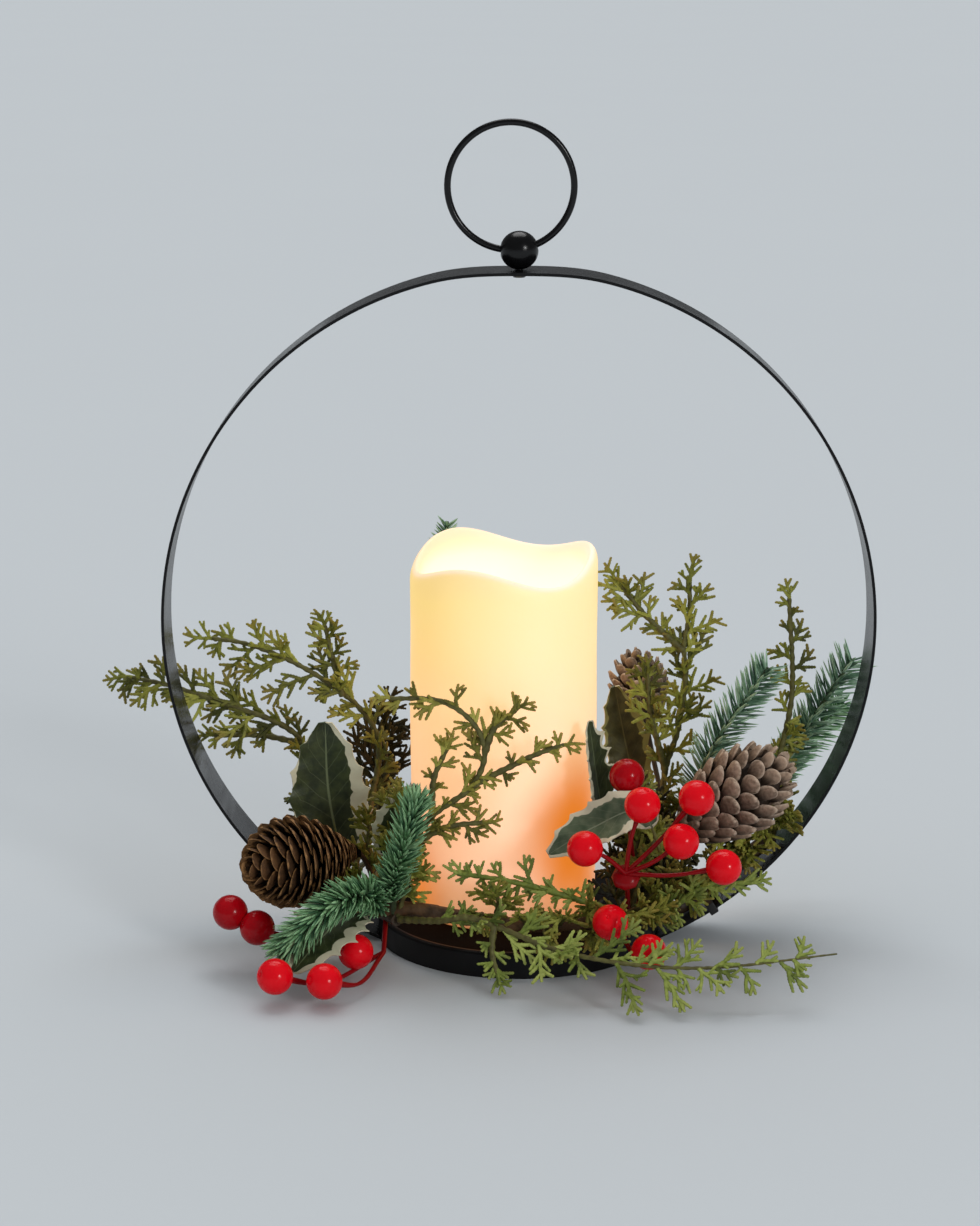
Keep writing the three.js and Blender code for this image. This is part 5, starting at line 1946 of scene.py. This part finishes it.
HOLLY_ROWS = (
    Leaf("left_tall", ((-65, -8, 20), (-72, -6, 36), (-77, -5, 60), (-78, -7, 91)), (0.1, -1, 0.1), 34, 0.2,
         0.13, (-0.38, 0.34)),
    Leaf("left_low", ((-57, -33, 17), (-66, -50, 24), (-76, -65, 20), (-87, -78, 10)), (0, -0.5, 1), 31, 0.25,
         0.3, (0.3, 0.3)),
    Leaf("left_back", ((-54, -26, 22), (-53, -30, 42), (-48, -32, 58), (-40, -32, 72)), (0, -1, 0.15), 18,
         0.4, 0.16, (0.5, -0.1)),
    Leaf("right_edge", ((44, -27, 20), (38, -26, 42), (33, -25, 62), (28, -23, 96)), (1, -0.55, 0.2), 24,
         0.45, 0.34, (0.0, 0.0)),
    Leaf("right_low", ((58, -22, 22), (56, -42, 48), (47, -47, 66), (30, -49, 60), (12, -50, 49)),
         (-0.2, -0.85, 0.8), 20, 0.5, 0.12, (0.06, 0.06), HOLLY_UNDER),
    Leaf("right_back", ((60, 2, 18), (52, 26, 44), (46, 32, 66), (40, 32, 96)), (0.3, -1, 0), 22, 0.5,
         0.2, (-0.2, 0.1), HOLLY_OLIVE),
)


@dataclass
class HollyLeaves:
    """Spiny variegated leaves, folded along the rib."""

    teeth: int = 6
    fold: float = 0.22
    thickness: float = 0.5
    edge: float = 0.25
    stalk: float = 1.0
    stalk_steps: int = 30
    stalk_tint: float = 0.6
    grid: tuple[int, int] = (16, 60)

    def build(self) -> None:
        """Shapes each leaf from a grid and fixes it to its stalk."""
        for row in HOLLY_ROWS:
            spine = Spine(seated(row.spine), row.face)
            blade = self._blade(row, spine)
            stalk = self._stalk(row, spine)
            name = row.name
            settle(join([blade, stalk]), f"holly_leaf_{name}", Body.FRAME, "holly", f"holly_{name}")

    def _half_width(self, row: Leaf, share: float) -> float:
        """Half the blade's width, teeth included.

        Args:
            row: The leaf's sizes.
            share: How far along the blade, from 0 to 1.

        Returns:
            The half width.
        """
        full = row.width / 2 * math.sin(math.pi * max(share, 1e-4) ** 0.85) ** 0.6 if share < 1 else 0
        bay = abs(math.sin(math.pi * self.teeth * share)) ** 0.7
        return max(full * (1 - row.valley * bay) + self.edge, self.edge)

    def _blade(self, row: Leaf, spine: Spine) -> Piece:
        """A toothed blade with its rib sunk and its teeth turned up and down.

        Args:
            row: The leaf's sizes.
            spine: Its line.

        Returns:
            The blade.
        """
        across, along = self.grid
        deselect()
        bpy.ops.mesh.primitive_grid_add(x_subdivisions=across, y_subdivisions=along, size=2, calc_uvs=True)
        blade = bpy.context.object
        start = row.bare * spine.length
        cream = []
        for vertex in blade.data.vertices:
            off, share = vertex.co.x, (vertex.co.y + 1) / 2
            cream.append(row.cream[off > 0] * abs(off) * (0.35 + 0.65 * share))
            here = start + share * (spine.length - start)
            point, _, side, face = spine.axes(here)
            half = self._half_width(row, share)
            tooth = math.cos(2 * math.pi * self.teeth * share) * abs(off) ** 3
            lift = self.fold * half * abs(off) ** 1.3 + 0.5 * tooth + 0.35 * math.sin(9 * share) * off
            reach = 1.2 * abs(off) ** 3 * max(tooth, 0)
            forward = spine.at(min(here + reach, spine.length))[0] - point
            vertex.co = point + side * (off * half) + face * lift + forward
        mark(blade, "cream", cream)
        wear(blade, row.finish, HOLLY_UNDER)
        edit()
        bpy.ops.mesh.normals_make_consistent(inside=False)
        leave_edit()
        middle = blade.data.polygons[len(blade.data.polygons) // 2]
        if middle.normal.dot(spine.axes(0.6 * spine.length)[3]) < 0:
            blade.data.flip_normals()
        modify(blade, "SOLIDIFY", thickness=self.thickness, offset=0.0, use_even_offset=False,
               material_offset=1, material_offset_rim=1)
        return round_edges(blade, 0, 60)

    def _stalk(self, row: Leaf, spine: Spine) -> Piece:
        """The stalk, running on as the rib under the blade.

        Args:
            row: The leaf's sizes.
            spine: Its line.

        Returns:
            The stalk.
        """
        steps = self.stalk_steps
        radii = [max(self.stalk * (1 - 0.85 * k / steps), 0.12) for k in range(steps + 1)]
        points = [p - spine.axes(spine.length * k / steps)[3] * (0.3 * min(k / 10, 1))
                  for k, p in enumerate(spine.spaced(steps))]
        return tinted(wear(tube([(points, radii)]), CEDAR_STEM), self.stalk_tint)


class ScaleForm(Enum):
    """How far a cone's scales swell."""

    SHELL = 0.35
    PUFFY = 0.95


@dataclass(frozen=True)
class Cone:
    """A pine cone: its ends, its fullness, its scales, its wire stem and how its scales stand."""

    name: str
    foot: Point
    tip: Point
    radius: float
    scales: int
    scale_size: Point
    form: ScaleForm
    stem: tuple[Point, ...]
    bark: Finish
    lean: tuple[float, float] = (60.0, 26.0)
    core: float = 0.66


CONE_ROWS = (
    Cone("left", (-65, -25, 42), (-107, -57, 45), 18, 150, (11.5, 6.2, 2.4), ScaleForm.SHELL,
         ((-58, -21, 22), (-60, -22, 34)), CONE_DARK, (36.0, 52.0), 0.56),
    Cone("right", (63, -26, 49), (108, -33, 84), 17, 100, (11.5, 4.4, 2.6), ScaleForm.PUFFY,
         ((58, -8, 21), (60, -19, 36)), CONE_TAUPE),
    Cone("back", (54, 46, 76), (48, 50, 108), 12, 72, (8.5, 3.2, 1.9), ScaleForm.PUFFY,
         ((63, 3, 19), (62, 34, 40), (57, 44, 62)), CONE_TAUPE),
)


@dataclass
class PineCones:
    """Cones of spiralling scales on a woody core."""

    wire: float = 1.1
    wire_steps: int = 24
    core_steps: int = 16
    shoulder: float = 0.6

    def build(self) -> None:
        """Models one scale of each form and winds copies of it round each core."""
        scales = {form: self._scale(form) for form in ScaleForm}
        for row in CONE_ROWS:
            self._wind(row, scales[row.form], random.Random(row.name))
        scrap(*scales.values())

    @staticmethod
    def swell(share: float) -> float:
        """How full a cone is along its axis: narrow at the foot, blunt at the tip."""
        return math.sin(math.pi * clamp(share, 0.001, 0.999) ** 1.35) ** 0.6

    def _scale(self, form: ScaleForm) -> Piece:
        """One scale along X, of unit size: a narrow root, a broad round end and a raised middle.

        Args:
            form: How far it swells.

        Returns:
            The scale.
        """
        deselect()
        bpy.ops.mesh.primitive_grid_add(x_subdivisions=9, y_subdivisions=8, size=2)
        scale = bpy.context.object
        edges = []
        for vertex in scale.data.vertices:
            row, off = (vertex.co.x + 1) / 2, vertex.co.y
            share = 1 - (1 - row) ** 1.6
            past = max(share - self.shoulder, 0) / (1 - self.shoulder)
            grown = min(share / self.shoulder, 1)
            width = (0.4 + 0.6 * ease(grown)) * math.sqrt(max(1 - past * past, 0))
            rise = form.value * (1 - off * off) * math.sin(math.pi * min(0.12 + 0.8 * share, 1)) ** 0.7
            edges.append(max(row, abs(off) * min(share / 0.5, 1)))
            vertex.co = (share, off * width, rise + 0.25 * past - 0.2 * off * off)
        mark(scale, "along", edges)
        edit()
        close_seams(0.002)
        leave_edit()
        if scale.data.polygons[len(scale.data.polygons) // 2].normal.z < 0:
            scale.data.flip_normals()
        modify(scale, "SOLIDIFY", thickness=0.3, offset=-1.0)
        return round_edges(scale, 0, 70)

    def _wind(self, row: Cone, scale: Piece, rng: random.Random) -> None:
        """Winds scales round one cone.

        Args:
            row: The cone's sizes.
            scale: The scale to copy.
            rng: The cone's own random numbers.
        """
        wear(scale, row.bark)
        foot, tip = Vector(row.foot), Vector(row.tip)
        axis = (tip - foot).normalized()
        length = (tip - foot).length
        side = axis.cross(Vector((0, 0, 1))).normalized()
        face = side.cross(axis)
        steps = self.core_steps
        profile = [(row.core * row.radius * self.swell(k / steps), length * (0.02 + 0.9 * k / steps))
                   for k in range(1, steps)]
        core = lathe([(0, 0.02 * length), *profile, (0, 0.92 * length)], 20)
        core.data.transform(aim(foot, axis, face) @ UPRIGHT_TO_X)
        parts = [wear(core, row.bark)]
        for k in range(row.scales):
            share = 0.04 + 0.955 * k / (row.scales - 1)
            out = side * math.cos(k * GOLDEN_ANGLE) + face * math.sin(k * GOLDEN_ANGLE)
            closing = (max(share - 0.55, 0) / 0.45) ** 1.4
            lean = math.radians(row.lean[0] + row.lean[1] * closing - 16 * max(0.35 - share, 0) / 0.35)
            along = out * math.cos(lean) + axis * math.sin(lean)
            size = 0.5 + 0.5 * self.swell(share)
            reach = row.scale_size[0] * size
            lip = foot + axis * (length * share) + out * (row.radius * self.swell(share))
            root = lip - along * (0.95 * reach)
            facing = out * math.sin(lean) - axis * math.cos(lean)
            astray = Vector([rng.uniform(-0.06, 0.06) for _ in range(3)])
            shape = (reach, row.scale_size[1] * size, row.scale_size[2] * size)
            tint = 0.7 * rng.random() + 0.6 * max(share - 0.72, 0) / 0.28
            parts.append(stamp(scale, aim(root, along + astray, facing, shape), tint))
        stem_line = Spine([*seated(row.stem), row.foot, tuple(foot + axis * (0.2 * length))])
        knots = stem_line.spaced(self.wire_steps)
        stem = wear(tube([(knots, [self.wire] * len(knots))]), STEM_TAPE)
        name = row.name
        settle(join([*parts, stem]), f"scaled_cone_{name}", Body.FRAME, "pine_cone", f"pine_cone_{name}")


@dataclass(frozen=True)
class Cluster:
    """A berry pick: its node, its main stem, its twigs, each ending at a berry, its knot and its tint, low
    for painted shade.
    """

    node: str
    stem: tuple[Point, ...]
    twigs: tuple[tuple[Point, ...], ...]
    knot: float = 0.0
    # Painted shade: a low tint darkens berries that sit in shade, and lit ones are given a high tint.
    tint: float = 0.12


BERRY_ROWS = (
    Cluster("berry_pick_left", ((-68, -6, 15), (-78, -30, 14)),
            (((-98, -44, 12), (-114, -45, 23)), ((-92, -44, 13), (-103, -49, 18)))),
    Cluster("berry_pick_left_low", ((-54, -35, 15), (-53, -52, 9)),
            (((-56, -56, 8.5), (-63.5, -61, 12.5)), ((-62, -80, 6), (-74, -89, 10.5)),
             ((-75, -76, 5), (-93, -88, 12))), tint=0.7),
    Cluster("berry_pick_right", ((45, -37, 21), (43, -50, 36), (42, -58, 44)),
            (((34, -62, 52), (26, -64, 56)), ((44, -62, 60), (48, -65, 74)), ((55, -60, 58), (69, -62, 76)),
             ((53, -64, 51), (63, -67, 60)), ((60, -60, 44), (80, -62, 48))), 4.8, 0.75),
    Cluster("berry_pick_right_low", ((44, -37, 17), (42, -50, 14)),
            (((38, -58, 20), (36, -67, 27)), ((46, -60, 11), (51, -70, 16))), tint=0.75),
    Cluster("berry_single_right", ((51, -28, 21), (46, -35, 40)), (((44, -36, 60), (43, -36, 77)),)),
)


@dataclass
class BerryPicks:
    """Lacquered berries on thin red twigs."""

    radius: float = 7.0
    thick: float = 1.0
    thin: float = 0.75
    cup: float = 1.7
    stem_steps: int = 40
    twig_steps: int = 20
    stem_tint: float = 0.2

    def build(self) -> None:
        """Models one berry and sets copies on each pick."""
        berry = wear(self._berry(), BERRY_RED)
        for row in BERRY_ROWS:
            self._set(row, berry)
        scrap(berry)

    def _berry(self) -> Piece:
        """A round berry along X from its stalk, with a shallow dimple and button at its far end.

        Returns:
            The berry.
        """
        size = self.radius
        arc = [-math.pi / 2 + math.pi * 0.93 * k / 22 for k in range(1, 23)]
        profile = [(0, -size), *[(size * math.cos(a), size * math.sin(a)) for a in arc]]
        rim_height = profile[-1][1]
        profile += [(0.13 * size, rim_height - 0.02 * size), (0.1 * size, rim_height - 0.05 * size),
                    (0.05 * size, rim_height + 0.005 * size), (0, rim_height + 0.01 * size)]
        berry = lathe(profile, 36)
        berry.data.transform(UPRIGHT_TO_X)
        return round_edges(berry, 0, 60)

    @staticmethod
    def _bulge(share: float) -> float:
        """How far a stem swells into its knot, just before its end."""
        return max(math.sin(math.pi * clamp((share - 0.8) / 0.2)), 0) ** 0.6

    def _set(self, row: Cluster, berry: Piece) -> None:
        """Builds one pick.

        Args:
            row: The pick's lines.
            berry: The berry to copy.
        """
        stem = Spine(seated(row.stem))
        swells = [self._bulge(k / self.stem_steps) for k in range(self.stem_steps + 1)]
        runs = [(stem.spaced(self.stem_steps), [self.thick + row.knot * swell for swell in swells])]
        berries = []
        for twig in row.twigs:
            line = Spine([row.stem[-1], *twig])
            radii = taper(self.thick, self.thin, self.twig_steps)
            radii[-8:-4] = [self.thin * (1 + 0.2 * k) for k in range(4)]
            radii[-4:] = [self.thin * self.cup] * 4
            runs.append((line.spaced(self.twig_steps), radii))
            centre, heading = line.at(line.length)
            matrix = aim(centre, heading, Vector((0, 0.3, 1)))
            berries.append(stamp(berry, matrix, row.tint))
        stems = tinted(wear(tube(runs), STEM_RED), self.stem_tint)
        name = row.node.replace("berry_pick", "berries").replace("berry_single", "berry_spray")
        settle(join([*berries, stems]), name, Body.FRAME, "berry", row.node)


def main() -> None:
    """Builds the lantern, piece by piece."""
    logging.basicConfig(level=logging.INFO, format="%(message)s")
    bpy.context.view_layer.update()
    for assembly in (Studio(), HoopFrame(), HangingRing(), Candle(), TiedStems(), CedarSprays(), FirPicks(),
                     HollyLeaves(), PineCones(), BerryPicks()):
        LOG.info("building %s", type(assembly).__name__)
        assembly.build()
    deselect()
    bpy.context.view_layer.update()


if __name__ == "__main__":
    main()
